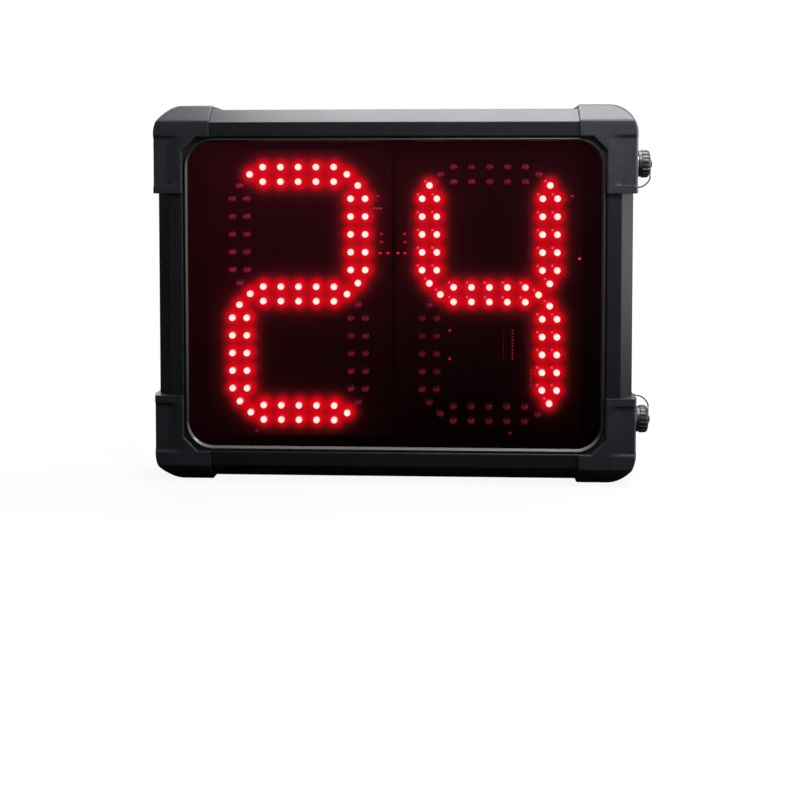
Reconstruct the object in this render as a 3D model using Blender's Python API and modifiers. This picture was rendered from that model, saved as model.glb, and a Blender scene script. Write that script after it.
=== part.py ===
"""Countdown timer: a box with two LED digits in an aluminium frame with plastic corners.

The front faces -Y, +X is to the right seen from the front and +Z is up. The origin is
the centre of the rear cover's raised panel, on its outer face. Every length is in metres.
"""

import math

import bmesh
import bpy
from mathutils import Matrix, Vector

MM = 0.001

# Overall size, over the corner pieces
WIDTH = 375 * MM
HEIGHT = 293 * MM
DEPTH = 70 * MM

# Clearances
FIT_GAP = 0.3 * MM
TURN_GAP = 0.4 * MM

# Frame rails: the section runs out from the window opening and back from the front face
RAIL_BAND = 22 * MM
RAIL_FLAT = 11.4 * MM
RAIL_SLANT_DEPTH = 14 * MM
RAIL_WALL = 1.6 * MM
LEDGE_INSET = 3 * MM
FLANGE_INSET = 4 * MM

# Corner pieces
CORNER_PROUD = 3.5 * MM
CORNER_FRONT_PROUD = 2.4 * MM
CORNER_REAR_PROUD = 3 * MM
CORNER_ARM_ACROSS = 46 * MM
CORNER_ARM_DOWN = 68.5 * MM
CORNER_RADIUS = 22.5 * MM
CORNER_INNER_CHAMFER = 9 * MM
CORNER_CREASE = 13.3 * MM
CORNER_BLOCK = 14 * MM
CORNER_END_CHAMFER = 1.2 * MM
RECESS_DEPTH = 1.2 * MM
RECESS_WIDTH = 19 * MM
RECESS_START = 26.5 * MM
RECESS_END = 62.5 * MM
RECESS_RADIUS = 6 * MM

# Window and its gasket
WINDOW_THICKNESS = 3 * MM
WINDOW_LAP = 6 * MM
GASKET_FLANGE = 1.2 * MM
BEAD_WIDTH = 2.8 * MM
BEAD_GAP = 0.6 * MM
BEAD_SET_BACK = 0.5 * MM
BEAD_RADIUS = 19 * MM

# Rear cover: a pressed sheet whose middle is raised level with the corner pieces' rear
COVER_THICKNESS = 1.5 * MM
PANEL_MARGIN = 39 * MM
PANEL_RADIUS = 12 * MM
PANEL_WALL_TRIM = 0.6 * MM

# Digits: LED places are measured from the centre of a digit
SEGMENT_ACROSS = 46.3 * MM
SEGMENT_UP = 92.8 * MM
LED_PITCH = 13.8 * MM
LED_ROW_GAP = 11.3 * MM
LED_END = 37.8 * MM
LED_PAIRS = 5
LED_DIAMETER = 5 * MM
LED_HEIGHT = 8.6 * MM
LED_DOME = 1.3 * MM
LED_SIDES = 6
LED_WINDOW_GAP = 1.4 * MM
STRIP_THICKNESS = 1 * MM
STRIP_MARGIN = 0.4 * MM
DIGIT_SHOWN = {"left": "abged", "right": "fbgc"}

# Circuit boards: the digit boards reach past their LEDs and nearly meet in the middle
BOARD_THICKNESS = 1.6 * MM
DIGIT_BOARD_SIDE_MARGIN = 25.7 * MM
DIGIT_BOARD_END_MARGIN = 19.2 * MM
DIGIT_BOARD_SPACE = 4 * MM
HEADER_WIDTH = 20 * MM
HEADER_HEIGHT = 6 * MM
DIGIT_HEADER_DEPTH = 8 * MM
CONTROLLER_WIDTH = 110 * MM
CONTROLLER_HEIGHT = 70 * MM
CONTROLLER_X = -35 * MM
CONTROLLER_STANDOFF = 8.2 * MM
CONTROLLER_HEADER_DEPTH = 8 * MM
CONTROLLER_POST_DIAMETER = 5 * MM
CONTROLLER_POST_INSET = 5 * MM
CONTROLLER_HEADER_INSET = 14 * MM
CHIP_WIDTH = 4 * MM
CHIP_LENGTH = 10 * MM
CHIP_THICKNESS = 1.8 * MM
PROCESSOR_SIDE = 12 * MM
PROCESSOR_THICKNESS = 1.6 * MM
TERMINAL_WIDTH = 10 * MM
TERMINAL_HEIGHT = 15 * MM
TERMINAL_DEPTH = 10 * MM
PART_SINK = 0.2 * MM

# Radio module that stands on the controller board
RADIO_WIDTH = 36 * MM
RADIO_HEIGHT = 18 * MM
RADIO_THICKNESS = 1.2 * MM
RADIO_STAND = 5 * MM
RADIO_INSET_X = 4 * MM
RADIO_INSET_Z = 3 * MM
RADIO_CAN_WIDTH = 16 * MM
RADIO_CAN_HEIGHT = 12 * MM
RADIO_CAN_DEPTH = 3 * MM
RADIO_PINS_WIDTH = 25 * MM
RADIO_PINS_HEIGHT = 2.5 * MM
AERIAL_DIAMETER = 5 * MM
AERIAL_LENGTH = 22 * MM

# Bars that carry the digit boards
BAR_LEVEL = 70 * MM
BAR_HEIGHT = 12 * MM
BAR_THICKNESS = 2 * MM
BAR_LEG = 10 * MM
POST_LENGTH = 9.7 * MM
POST_DIAMETER = 6 * MM
POST_INSET = 12 * MM

# Power converter and buzzer, on the rear cover
CONVERTER_WIDTH = 56 * MM
CONVERTER_HEIGHT = 36 * MM
CONVERTER_DEPTH = 20 * MM
CONVERTER_X = 105 * MM
CONVERTER_Z = -45 * MM
CONVERTER_EAR_WIDTH = 14 * MM
CONVERTER_EAR_LENGTH = 8 * MM
CONVERTER_EAR_THICKNESS = 2 * MM
BUZZER_PANEL_INSET = 26.5 * MM
BUZZER_Z = 55 * MM
BUZZER_DIAMETER = 30 * MM
BUZZER_HEIGHT = 14 * MM
BUZZER_FLANGE = 3 * MM
BUZZER_FLANGE_THICKNESS = 2 * MM
BUZZER_HOLE_DIAMETER = 6 * MM
BUZZER_CHAMFER = 1 * MM

# Sockets in the right-hand side, one in each corner piece's vertical arm
SOCKET_FROM_EDGE = 45 * MM
SOCKET_DEPTH = 45 * MM
SEAL_THICKNESS = 1 * MM
SEAL_DIAMETER = 20.4 * MM
SOCKET_FLANGE = 2 * MM
SOCKET_FLANGE_DIAMETER = 20.6 * MM
SOCKET_SHANK_DIAMETER = 16 * MM
SOCKET_SHANK_LENGTH = 17 * MM
SOCKET_BARREL_DIAMETER = 17 * MM
SOCKET_BARREL_LENGTH = 7.2 * MM
SOCKET_CAVITY_DIAMETER = 13 * MM
SOCKET_CAVITY_DEPTH = 5.5 * MM
SOCKET_CHAMFER = 0.6 * MM
CONTACT_DIAMETER = 2 * MM
CONTACT_DEPTH = 3 * MM
CONTACT_CIRCLE = 3.2 * MM
CONTACT_COUNT = 4
NUT_ACROSS_FLATS = 20 * MM
NUT_THICKNESS = 3 * MM

# Dust caps: a knurled cup, with a stud on its end that holds the tether's tag
CAP_DIAMETER = 22 * MM
CAP_RIM_DIAMETER = 20.6 * MM
CAP_RIM_LENGTH = 2.7 * MM
CAP_LENGTH = 9.3 * MM
CAP_END_WALL = 1.8 * MM
CAP_CHAMFER = 0.9 * MM
KNURL_COUNT = 24
KNURL_DEPTH = 0.5 * MM
STUD_DIAMETER = 3.2 * MM
STUD_HEAD_DIAMETER = 5.6 * MM
STUD_HEAD_HEIGHT = 1 * MM
TAG_THICKNESS = 0.6 * MM
TAG_DIAMETER = 8 * MM
TAG_TAIL_WIDTH = 2.6 * MM
TAG_TAIL_LENGTH = 9 * MM

# Tethers and their anchors
TETHER_DIAMETER = 0.9 * MM
ANCHOR_OFFSET = 18.8 * MM
ANCHOR_FLANGE_DIAMETER = 6 * MM
ANCHOR_FLANGE = 0.8 * MM
ANCHOR_CONE_DIAMETER = 3 * MM
ANCHOR_TIP_DIAMETER = 1.8 * MM
ANCHOR_CONE_LENGTH = 2.6 * MM
ANCHOR_PIN_DIAMETER = 2 * MM
ANCHOR_PIN_LENGTH = 2 * MM

# Screws
SCREW_DIAMETER = 3 * MM
SCREW_LENGTH = 7 * MM
SCREW_HEAD_DIAMETER = 5.6 * MM
SCREW_HEAD_HEIGHT = 1.5 * MM
SCREW_HEAD_SINK = 1.9 * MM
CORNER_SCREW_INSET = 36 * MM

# Leads
LEAD_DIAMETER = 5 * MM
LEAD_RUN_OUT = 8 * MM
LEAD_BEND = 16 * MM
LEAD_DROP = 12 * MM
LEAD_SET_BACK = 2 * MM
RIBBON_WIDTH = 16 * MM
RIBBON_THICKNESS = 0.9 * MM
RIBBON_BULGE = 5 * MM

# Facets of round pieces
ROUND_STEPS = 24
SMALL_STEPS = 12
ARC_STEPS = 8

# Places that follow from the sizes
HALF_WIDTH = WIDTH / 2
HALF_HEIGHT = HEIGHT / 2
CORNER_FRONT_Y = -DEPTH
RAIL_FRONT_Y = CORNER_FRONT_Y + CORNER_FRONT_PROUD
RAIL_REAR_Y = -CORNER_REAR_PROUD
RAIL_DEPTH = RAIL_REAR_Y - RAIL_FRONT_Y
RAIL_HALF_WIDTH = HALF_WIDTH - CORNER_PROUD
RAIL_HALF_HEIGHT = HALF_HEIGHT - CORNER_PROUD
OPENING_HALF_WIDTH = RAIL_HALF_WIDTH - RAIL_BAND
OPENING_HALF_HEIGHT = RAIL_HALF_HEIGHT - RAIL_BAND
RAIL_SLANT_WIDTH = RAIL_BAND - RAIL_FLAT
SLANT_SLOPE = RAIL_SLANT_WIDTH / RAIL_SLANT_DEPTH
CORNER_BAND = CORNER_PROUD + RAIL_BAND
GASKET_V = RAIL_WALL + FIT_GAP
WINDOW_V = GASKET_V + GASKET_FLANGE + FIT_GAP
LEDGE_V = WINDOW_V + WINDOW_THICKNESS + FIT_GAP
FLANGE_V = RAIL_DEPTH - COVER_THICKNESS - FIT_GAP
DIGIT_BOARD_WIDTH = 2 * (SEGMENT_ACROSS + DIGIT_BOARD_SIDE_MARGIN)
DIGIT_BOARD_HEIGHT = 2 * (SEGMENT_UP + DIGIT_BOARD_END_MARGIN)
DIGIT_PITCH = DIGIT_BOARD_WIDTH + DIGIT_BOARD_SPACE
BOARD_V = WINDOW_V + WINDOW_THICKNESS + LED_WINDOW_GAP + LED_HEIGHT
BAR_V = BOARD_V + BOARD_THICKNESS + FIT_GAP + POST_LENGTH
PANEL_INNER_Y = -COVER_THICKNESS
BUZZER_X = PANEL_MARGIN + BUZZER_PANEL_INSET - HALF_WIDTH
CONTROLLER_Y = PANEL_INNER_Y - FIT_GAP - CONTROLLER_STANDOFF - BOARD_THICKNESS
SCREW_LEVEL = (FLANGE_INSET + RAIL_BAND - RAIL_WALL) / 2
SOCKET_Y = RAIL_FRONT_Y + SOCKET_DEPTH
SOCKET_Z = HALF_HEIGHT - SOCKET_FROM_EDGE
SEAL_X = HALF_WIDTH + FIT_GAP
SOCKET_FLANGE_X = SEAL_X + SEAL_THICKNESS + FIT_GAP
SOCKET_BARREL_X = SOCKET_FLANGE_X + SOCKET_FLANGE
SOCKET_INNER_X = SOCKET_FLANGE_X - SOCKET_SHANK_LENGTH
CAP_X = SOCKET_BARREL_X + FIT_GAP
CAP_END_X = CAP_X + CAP_LENGTH
TAG_X = CAP_END_X + TURN_GAP
STUD_HEAD_X = TAG_X + TAG_THICKNESS + FIT_GAP
HOLE_RADIUS = SCREW_DIAMETER / 2 + FIT_GAP
SOCKET_HOLE_RADIUS = SOCKET_SHANK_DIAMETER / 2 + FIT_GAP

X_AXIS = Vector((1, 0, 0))
Y_AXIS = Vector((0, 1, 0))
Z_AXIS = Vector((0, 0, 1))

for old in list(bpy.data.objects):
    bpy.data.objects.remove(old)

PARTS = bpy.data.collections.new("countdown_timer")
CUTTERS = bpy.data.collections.new("cutters")
bpy.context.scene.collection.children.link(PARTS)
bpy.context.scene.collection.children.link(CUTTERS)


def make_material(name, colour, roughness, metallic=0.0, glow=0.0):
    """Make a plain Principled material; glow is the strength of its own light."""
    material = bpy.data.materials.new(name)
    material.use_nodes = True
    shader = material.node_tree.nodes["Principled BSDF"]
    shader.inputs["Base Color"].default_value = (*colour, 1)
    shader.inputs["Roughness"].default_value = roughness
    shader.inputs["Metallic"].default_value = metallic
    shader.inputs["Emission Color"].default_value = (*colour, 1)
    shader.inputs["Emission Strength"].default_value = glow
    return material


ANODISED = make_material("black_anodised_aluminium", (0.05, 0.052, 0.06), 0.38, 0.6)
CORNER_PLASTIC = make_material("corner_plastic", (0.045, 0.046, 0.055), 0.45)
GASKET_GREY = make_material("grey_gasket", (0.2, 0.2, 0.205), 0.5)
SMOKED = make_material("smoked_acrylic", (0.03, 0.004, 0.008), 0.08)
COVER_BLACK = make_material("black_sheet", (0.03, 0.03, 0.032), 0.5)
BOARD_BLACK = make_material("circuit_board", (0.02, 0.03, 0.025), 0.5)
LED_LIT = make_material("lit_led", (1.0, 0.05, 0.03), 0.3, glow=4.0)
LED_DARK = make_material("dark_led", (0.25, 0.01, 0.03), 0.3)
BAR_METAL = make_material("bar_aluminium", (0.6, 0.6, 0.62), 0.4, 1.0)
CONVERTER_CASE = make_material("converter_case", (0.08, 0.08, 0.09), 0.4, 0.8)
BUZZER_BLACK = make_material("buzzer_plastic", (0.02, 0.02, 0.02), 0.5)
NICKEL = make_material("nickel", (0.65, 0.64, 0.62), 0.25, 1.0)
CAP_METAL = make_material("cap_metal", (0.12, 0.12, 0.125), 0.35, 0.9)
SEAL_RUBBER = make_material("seal_rubber", (0.03, 0.03, 0.03), 0.7)
TETHER_STEEL = make_material("tether_steel", (0.3, 0.3, 0.31), 0.35, 1.0)
SCREW_BLACK = make_material("black_screw", (0.06, 0.06, 0.065), 0.35, 0.9)
LEAD_JACKET = make_material("lead_jacket", (0.02, 0.02, 0.022), 0.6)
RIBBON_GREY = make_material("ribbon_grey", (0.35, 0.36, 0.38), 0.6)


def place(name, data, material, matrix=None):
    """Put a mesh or curve among the parts, or among the cutters if it has no material."""
    obj = bpy.data.objects.new(name, data)
    if matrix is not None:
        obj.matrix_world = matrix
    if material is None:
        CUTTERS.objects.link(obj)
        obj.hide_render = True
        obj.display_type = "WIRE"
    else:
        PARTS.objects.link(obj)
        data.materials.append(material)
    return obj


def axes_matrix(x_axis, y_axis, centre):
    """Give the matrix whose local X and Y run along the given axes."""
    z_axis = x_axis.cross(y_axis)
    turn = Matrix((x_axis, y_axis, z_axis)).transposed().to_4x4()
    return Matrix.Translation(centre) @ turn


def prism(name, outlines, length, x_axis, y_axis, centre, material=None):
    """Extrude the first outline, less the others as holes, evenly both ways from centre."""
    curve = bpy.data.curves.new(name, "CURVE")
    curve.dimensions = "2D"
    curve.fill_mode = "BOTH"
    curve.extrude = length / 2
    for outline in outlines:
        spline = curve.splines.new("POLY")
        spline.points.add(len(outline) - 1)
        spline.use_cyclic_u = True
        for point, (x, y) in zip(spline.points, outline):
            point.co = (x, y, 0, 1)
    guide = bpy.data.objects.new(name, curve)
    bpy.context.scene.collection.objects.link(guide)
    graph = bpy.context.evaluated_depsgraph_get()
    mesh = bpy.data.meshes.new_from_object(guide.evaluated_get(graph))
    bpy.data.objects.remove(guide)
    shell = bmesh.new()
    shell.from_mesh(mesh)
    bmesh.ops.remove_doubles(shell, verts=shell.verts, dist=0.001 * MM)
    bmesh.ops.recalc_face_normals(shell, faces=shell.faces)
    shell.to_mesh(mesh)
    shell.free()
    return place(name, mesh, material, axes_matrix(x_axis, y_axis, centre))


def boxes(name, blocks, material=None):
    """Make one mesh of separate boxes, each given as its centre and size."""
    shell = bmesh.new()
    for centre, size in blocks:
        matrix = Matrix.Translation(centre) @ Matrix.Diagonal((*size, 1))
        bmesh.ops.create_cube(shell, size=1, matrix=matrix)
    mesh = bpy.data.meshes.new(name)
    shell.to_mesh(mesh)
    shell.free()
    return place(name, mesh, material)


def turned(name, profile, steps, axis, centre, material=None, ring=False):
    """Turn a profile of (radius, height) points about an axis; a ring's profile closes."""
    mesh = bpy.data.meshes.new(name)
    edges = [(i, i + 1) for i in range(len(profile) - 1)]
    if ring:
        edges.append((len(profile) - 1, 0))
    mesh.from_pydata([(radius, 0, height) for radius, height in profile], edges, [])
    turn = Z_AXIS.rotation_difference(axis).to_matrix().to_4x4()
    obj = place(name, mesh, material, Matrix.Translation(centre) @ turn)
    screw = obj.modifiers.new("turn", "SCREW")
    screw.steps = steps
    screw.render_steps = steps
    screw.use_merge_vertices = True
    screw.merge_threshold = 0.01 * MM
    screw.use_smooth_shade = False
    return obj


def rod(name, radius, length, axis, centre, steps, material=None):
    """Make a plain cylinder, centred on its middle."""
    profile = [(0, length / 2), (radius, length / 2), (radius, -length / 2), (0, -length / 2)]
    return turned(name, profile, steps, axis, centre, material)


def combine(obj, tool, operation):
    """Add a Boolean of the tool to the object."""
    boolean = obj.modifiers.new(tool.name, "BOOLEAN")
    boolean.operation = operation
    boolean.object = tool


def cut(obj, tool):
    combine(obj, tool, "DIFFERENCE")


def fuse(obj, tool):
    combine(obj, tool, "UNION")


def smooth_path(points, spacing):
    """Read points at an even spacing from a smooth curve through the given ones."""
    knots = [Vector(point) for point in points]
    knots = [2 * knots[0] - knots[1], *knots, 2 * knots[-1] - knots[-2]]
    path = []
    for before, start, end, after in zip(knots, knots[1:], knots[2:], knots[3:]):
        count = max(1, round((end - start).length / spacing))
        for step in range(count):
            t = step / count
            linear = end - before
            square = 2 * before - 5 * start + 4 * end - after
            cube = 3 * start - before - 3 * end + after
            path.append(start + (linear * t + square * t * t + cube * t ** 3) / 2)
    path.append(knots[-2])
    return path


def tube(name, points, diameter, sides_level, material):
    """Make a round wire or lead along a smooth curve through the points."""
    curve = bpy.data.curves.new(name, "CURVE")
    curve.dimensions = "3D"
    curve.bevel_depth = diameter / 2
    curve.bevel_resolution = sides_level
    curve.use_fill_caps = True
    path = smooth_path(points, 2.5 * diameter)
    spline = curve.splines.new("POLY")
    spline.points.add(len(path) - 1)
    for point, place_on_path in zip(spline.points, path):
        point.co = (*place_on_path, 1)
    return place(name, curve, material)


def arc(centre, radius, start, end):
    """Give the points of an arc between two angles in degrees."""
    points = []
    for step in range(ARC_STEPS + 1):
        angle = math.radians(start + (end - start) * step / ARC_STEPS)
        x = centre[0] + radius * math.cos(angle)
        y = centre[1] + radius * math.sin(angle)
        points.append((x, y))
    return points


def polygon(radius, sides):
    """Give a regular polygon about the origin."""
    angles = [math.radians(360 * side / sides) for side in range(sides)]
    return [(radius * math.cos(angle), radius * math.sin(angle)) for angle in angles]


def rounded_rectangle(half_width, half_height, radius):
    """Give the outline of a rectangle with round corners."""
    outline = []
    for quarter, (side_x, side_y) in enumerate([(1, 1), (-1, 1), (-1, -1), (1, -1)]):
        centre = (side_x * (half_width - radius), side_y * (half_height - radius))
        outline += arc(centre, radius, 90 * quarter, 90 * quarter + 90)
    return outline


def rectangle(half_width, half_height):
    return [
        (half_width, half_height),
        (-half_width, half_height),
        (-half_width, -half_height),
        (half_width, -half_height),
    ]


def front_plate(name, outlines, front, rear, material=None):
    """Extrude an outline seen from the front, (x, z), between two depths."""
    centre = Vector((0, (front + rear) / 2, 0))
    return prism(name, outlines, rear - front, X_AXIS, Z_AXIS, centre, material)


def taper(name, front_outline, rear_outline, front, rear):
    """Join two outlines seen from the front, of equal counts, into a solid with sloping sides."""
    count = len(front_outline)
    verts = [(x, front, z) for x, z in front_outline] + [(x, rear, z) for x, z in rear_outline]
    faces = [list(range(count)), list(range(count, 2 * count))]
    for here in range(count):
        there = (here + 1) % count
        faces.append([here, there, count + there, count + here])
    mesh = bpy.data.meshes.new(name)
    mesh.from_pydata(verts, [], faces)
    shell = bmesh.new()
    shell.from_mesh(mesh)
    bmesh.ops.recalc_face_normals(shell, faces=shell.faces)
    shell.to_mesh(mesh)
    shell.free()
    return place(name, mesh, None)


def panel_outline(outward):
    """Give the raised panel's outline, moved outward as its sides slope at 45 degrees."""
    half_width = HALF_WIDTH - PANEL_MARGIN + outward
    half_height = HALF_HEIGHT - PANEL_MARGIN + outward
    return rounded_rectangle(half_width, half_height, PANEL_RADIUS + outward)


def at_depth(depth):
    """Give the y of a depth measured from the rails' front face."""
    return RAIL_FRONT_Y + depth


# Frame rails
def slant_inner(depth):
    """Give the inner surface of the rail's slanted wall, as its distance from the opening."""
    slant_length = math.hypot(RAIL_SLANT_WIDTH, RAIL_SLANT_DEPTH)
    return RAIL_FLAT + SLANT_SLOPE * depth - RAIL_WALL * slant_length / RAIL_SLANT_DEPTH


def rail_section():
    """Give the extrusion's section: (distance out from the opening, depth from the front)."""
    side_inner = RAIL_BAND - RAIL_WALL
    slant_end = RAIL_SLANT_DEPTH + (side_inner - slant_inner(RAIL_SLANT_DEPTH)) / SLANT_SLOPE
    return [
        (0, 0),
        (RAIL_FLAT, 0),
        (RAIL_BAND, RAIL_SLANT_DEPTH),
        (RAIL_BAND, RAIL_DEPTH),
        (side_inner, RAIL_DEPTH),
        (side_inner, FLANGE_V),
        (FLANGE_INSET, FLANGE_V),
        (FLANGE_INSET, FLANGE_V - RAIL_WALL),
        (side_inner, FLANGE_V - RAIL_WALL),
        (side_inner, slant_end),
        (slant_inner(LEDGE_V + RAIL_WALL), LEDGE_V + RAIL_WALL),
        (LEDGE_INSET, LEDGE_V + RAIL_WALL),
        (LEDGE_INSET, LEDGE_V),
        (slant_inner(LEDGE_V), LEDGE_V),
        (slant_inner(RAIL_WALL), RAIL_WALL),
        (0, RAIL_WALL),
    ]


def rail_envelope():
    """Give the hollow that a corner piece leaves for a rail, with its gap all round."""
    slant_length = math.hypot(RAIL_SLANT_WIDTH, RAIL_SLANT_DEPTH)
    crease = RAIL_FLAT + FIT_GAP * (slant_length - RAIL_SLANT_WIDTH) / RAIL_SLANT_DEPTH
    side = RAIL_BAND + FIT_GAP
    slant_end = ((side - RAIL_FLAT) * RAIL_SLANT_DEPTH - FIT_GAP * slant_length) / RAIL_SLANT_WIDTH
    inside = -CORNER_INNER_CHAMFER - FIT_GAP
    return [
        (inside, -FIT_GAP),
        (crease, -FIT_GAP),
        (side, slant_end),
        (side, RAIL_DEPTH + FIT_GAP),
        (inside, RAIL_DEPTH + FIT_GAP),
    ]


def along_rail(name, section, side, start, end, material=None):
    """Extrude a rail's section on one side of the frame; start and end run along the rail."""
    outward = {"top": Z_AXIS, "bottom": -Z_AXIS, "left": -X_AXIS, "right": X_AXIS}[side]
    across = OPENING_HALF_HEIGHT if side in ("top", "bottom") else OPENING_HALF_WIDTH
    along = X_AXIS if side in ("top", "bottom") else Z_AXIS
    centre = outward * across + Y_AXIS * RAIL_FRONT_Y + along * (start + end) / 2
    return prism(name, [section], abs(end - start), outward, Y_AXIS, centre, material)


def screw_points():
    """Give each rear screw's name, place and the y of the face that its head sits on."""
    points = {
        "top_cover_screw": (0, OPENING_HALF_HEIGHT + SCREW_LEVEL, RAIL_REAR_Y),
        "bottom_cover_screw": (0, -OPENING_HALF_HEIGHT - SCREW_LEVEL, RAIL_REAR_Y),
        "left_cover_screw": (-OPENING_HALF_WIDTH - SCREW_LEVEL, 0, RAIL_REAR_Y),
        "right_cover_screw": (OPENING_HALF_WIDTH + SCREW_LEVEL, 0, RAIL_REAR_Y),
    }
    for level, side_z in (("top", 1), ("bottom", -1)):
        for hand, side_x in (("left", -1), ("right", 1)):
            x = side_x * (HALF_WIDTH - CORNER_SCREW_INSET)
            z = side_z * (OPENING_HALF_HEIGHT + SCREW_LEVEL)
            points[f"{level}_{hand}_corner_screw"] = (x, z, -SCREW_HEAD_SINK)
    return points


def screw_holes(obj, names):
    """Drill the named screws' holes right through a piece behind the middle of the box."""
    for name in names:
        x, z, _ = screw_points()[name]
        depth = RAIL_DEPTH / 2
        centre = Vector((x, FIT_GAP - depth / 2, z))
        hole = rod(f"{obj.name}_{name}_hole", HOLE_RADIUS, depth, Y_AXIS, centre, SMALL_STEPS)
        cut(obj, hole)


def socket_places():
    """Give each socket's name, its axis point in y and z, and the side its tether lies on."""
    return {"upper": (SOCKET_Y, SOCKET_Z, -1), "lower": (SOCKET_Y, -SOCKET_Z, 1)}


def make_rails():
    half_x = OPENING_HALF_WIDTH - FIT_GAP
    half_z = OPENING_HALF_HEIGHT - FIT_GAP
    top = along_rail("top_rail", rail_section(), "top", -half_x, half_x, ANODISED)
    bottom = along_rail("bottom_rail", rail_section(), "bottom", -half_x, half_x, ANODISED)
    left = along_rail("left_rail", rail_section(), "left", -half_z, half_z, ANODISED)
    right = along_rail("right_rail", rail_section(), "right", -half_z, half_z, ANODISED)
    screw_holes(top, ["top_cover_screw", "top_left_corner_screw"])
    screw_holes(top, ["top_right_corner_screw"])
    screw_holes(bottom, ["bottom_cover_screw", "bottom_left_corner_screw"])
    screw_holes(bottom, ["bottom_right_corner_screw"])
    screw_holes(left, ["left_cover_screw"])
    screw_holes(right, ["right_cover_screw"])
    for level, (y, z, _) in socket_places().items():
        centre = Vector((RAIL_HALF_WIDTH, y, z))
        length = 3 * RAIL_WALL
        cut(right, rod(f"{level}_rail_hole", SOCKET_HOLE_RADIUS, length, X_AXIS, centre, ROUND_STEPS))


# Corner pieces
def corner_point(side_x, side_z, across, down):
    """Turn distances from a corner's outer point into x and z."""
    return (side_x * (HALF_WIDTH - across), side_z * (HALF_HEIGHT - down))


def corner_outline():
    """Give a corner piece's outline, as distances (across, down) from its outer point."""
    radius = CORNER_RADIUS
    band = CORNER_BAND
    nick = CORNER_END_CHAMFER
    inner = band + CORNER_INNER_CHAMFER
    return [
        (CORNER_ARM_ACROSS, nick),
        (CORNER_ARM_ACROSS - nick, 0),
        *arc((radius, radius), radius, 270, 180),
        (0, CORNER_ARM_DOWN - nick),
        (nick, CORNER_ARM_DOWN),
        (band, CORNER_ARM_DOWN),
        (band, inner),
        (inner, band),
        (CORNER_ARM_ACROSS, band),
    ]


def recess_outline():
    """Give the shallow recess in the vertical arm, open at the outer side."""
    centre = (RECESS_WIDTH - RECESS_RADIUS, RECESS_END - RECESS_RADIUS)
    return [
        (-FIT_GAP, RECESS_START),
        (RECESS_WIDTH, RECESS_START),
        *arc(centre, RECESS_RADIUS, 0, 90),
        (-FIT_GAP, RECESS_END),
    ]


def make_corner(level, hand):
    """Make one corner piece: a channel that wraps the ends of two rails."""
    side_z = 1 if level == "top" else -1
    side_x = 1 if hand == "right" else -1
    name = f"{level}_{hand}_corner"
    outline = [corner_point(side_x, side_z, *point) for point in corner_outline()]
    corner = front_plate(name, [outline], CORNER_FRONT_Y, 0, CORNER_PLASTIC)

    slant = [
        (-FIT_GAP, -FIT_GAP),
        (-FIT_GAP, CORNER_CREASE + FIT_GAP * SLANT_SLOPE),
        (CORNER_CREASE / SLANT_SLOPE + FIT_GAP / SLANT_SLOPE, -FIT_GAP),
    ]
    slant = [(CORNER_FRONT_Y + depth, side_z * (HALF_HEIGHT - down)) for depth, down in slant]
    centre = X_AXIS * side_x * (HALF_WIDTH - CORNER_ARM_ACROSS / 2)
    length = CORNER_ARM_ACROSS + 2 * FIT_GAP
    cut(corner, prism(f"{name}_slant", [slant], length, Y_AXIS, Z_AXIS, centre))

    recess = [corner_point(side_x, side_z, *point) for point in recess_outline()]
    recess_rear = CORNER_FRONT_Y + RECESS_DEPTH
    cut(corner, front_plate(f"{name}_recess", [recess], CORNER_FRONT_Y - FIT_GAP, recess_rear))

    start = side_x * (HALF_WIDTH - CORNER_BLOCK)
    end = side_x * (HALF_WIDTH - CORNER_ARM_ACROSS - CORNER_BLOCK)
    cut(corner, along_rail(f"{name}_hollow_across", rail_envelope(), level, start, end))
    start = side_z * (HALF_HEIGHT - CORNER_BLOCK)
    end = side_z * (HALF_HEIGHT - CORNER_ARM_DOWN - CORNER_BLOCK)
    cut(corner, along_rail(f"{name}_hollow_down", rail_envelope(), hand, start, end))

    screw = f"{name}_screw"
    screw_holes(corner, [screw])
    x, z, seat = screw_points()[screw]
    radius = SCREW_HEAD_DIAMETER / 2 + FIT_GAP
    sink = rod(f"{name}_sink", radius, -2 * seat, Y_AXIS, Vector((x, 0, z)), ROUND_STEPS)
    cut(corner, sink)
    return corner


def make_corners():
    corners = {}
    for level in ("top", "bottom"):
        for hand in ("left", "right"):
            corners[level, hand] = make_corner(level, hand)
    for level, (y, z, tether_side) in socket_places().items():
        corner = corners["top" if level == "upper" else "bottom", "right"]
        centre = Vector((HALF_WIDTH, y, z))
        length = 3 * CORNER_PROUD
        cut(corner, rod(f"{level}_socket_hole", SOCKET_HOLE_RADIUS, length, X_AXIS, centre, ROUND_STEPS))
        centre = Vector((HALF_WIDTH, y, z + tether_side * ANCHOR_OFFSET))
        radius = ANCHOR_PIN_DIAMETER / 2 + FIT_GAP
        length = 2 * (ANCHOR_PIN_LENGTH + FIT_GAP)
        cut(corner, rod(f"{level}_anchor_hole", radius, length, X_AXIS, centre, SMALL_STEPS))


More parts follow.
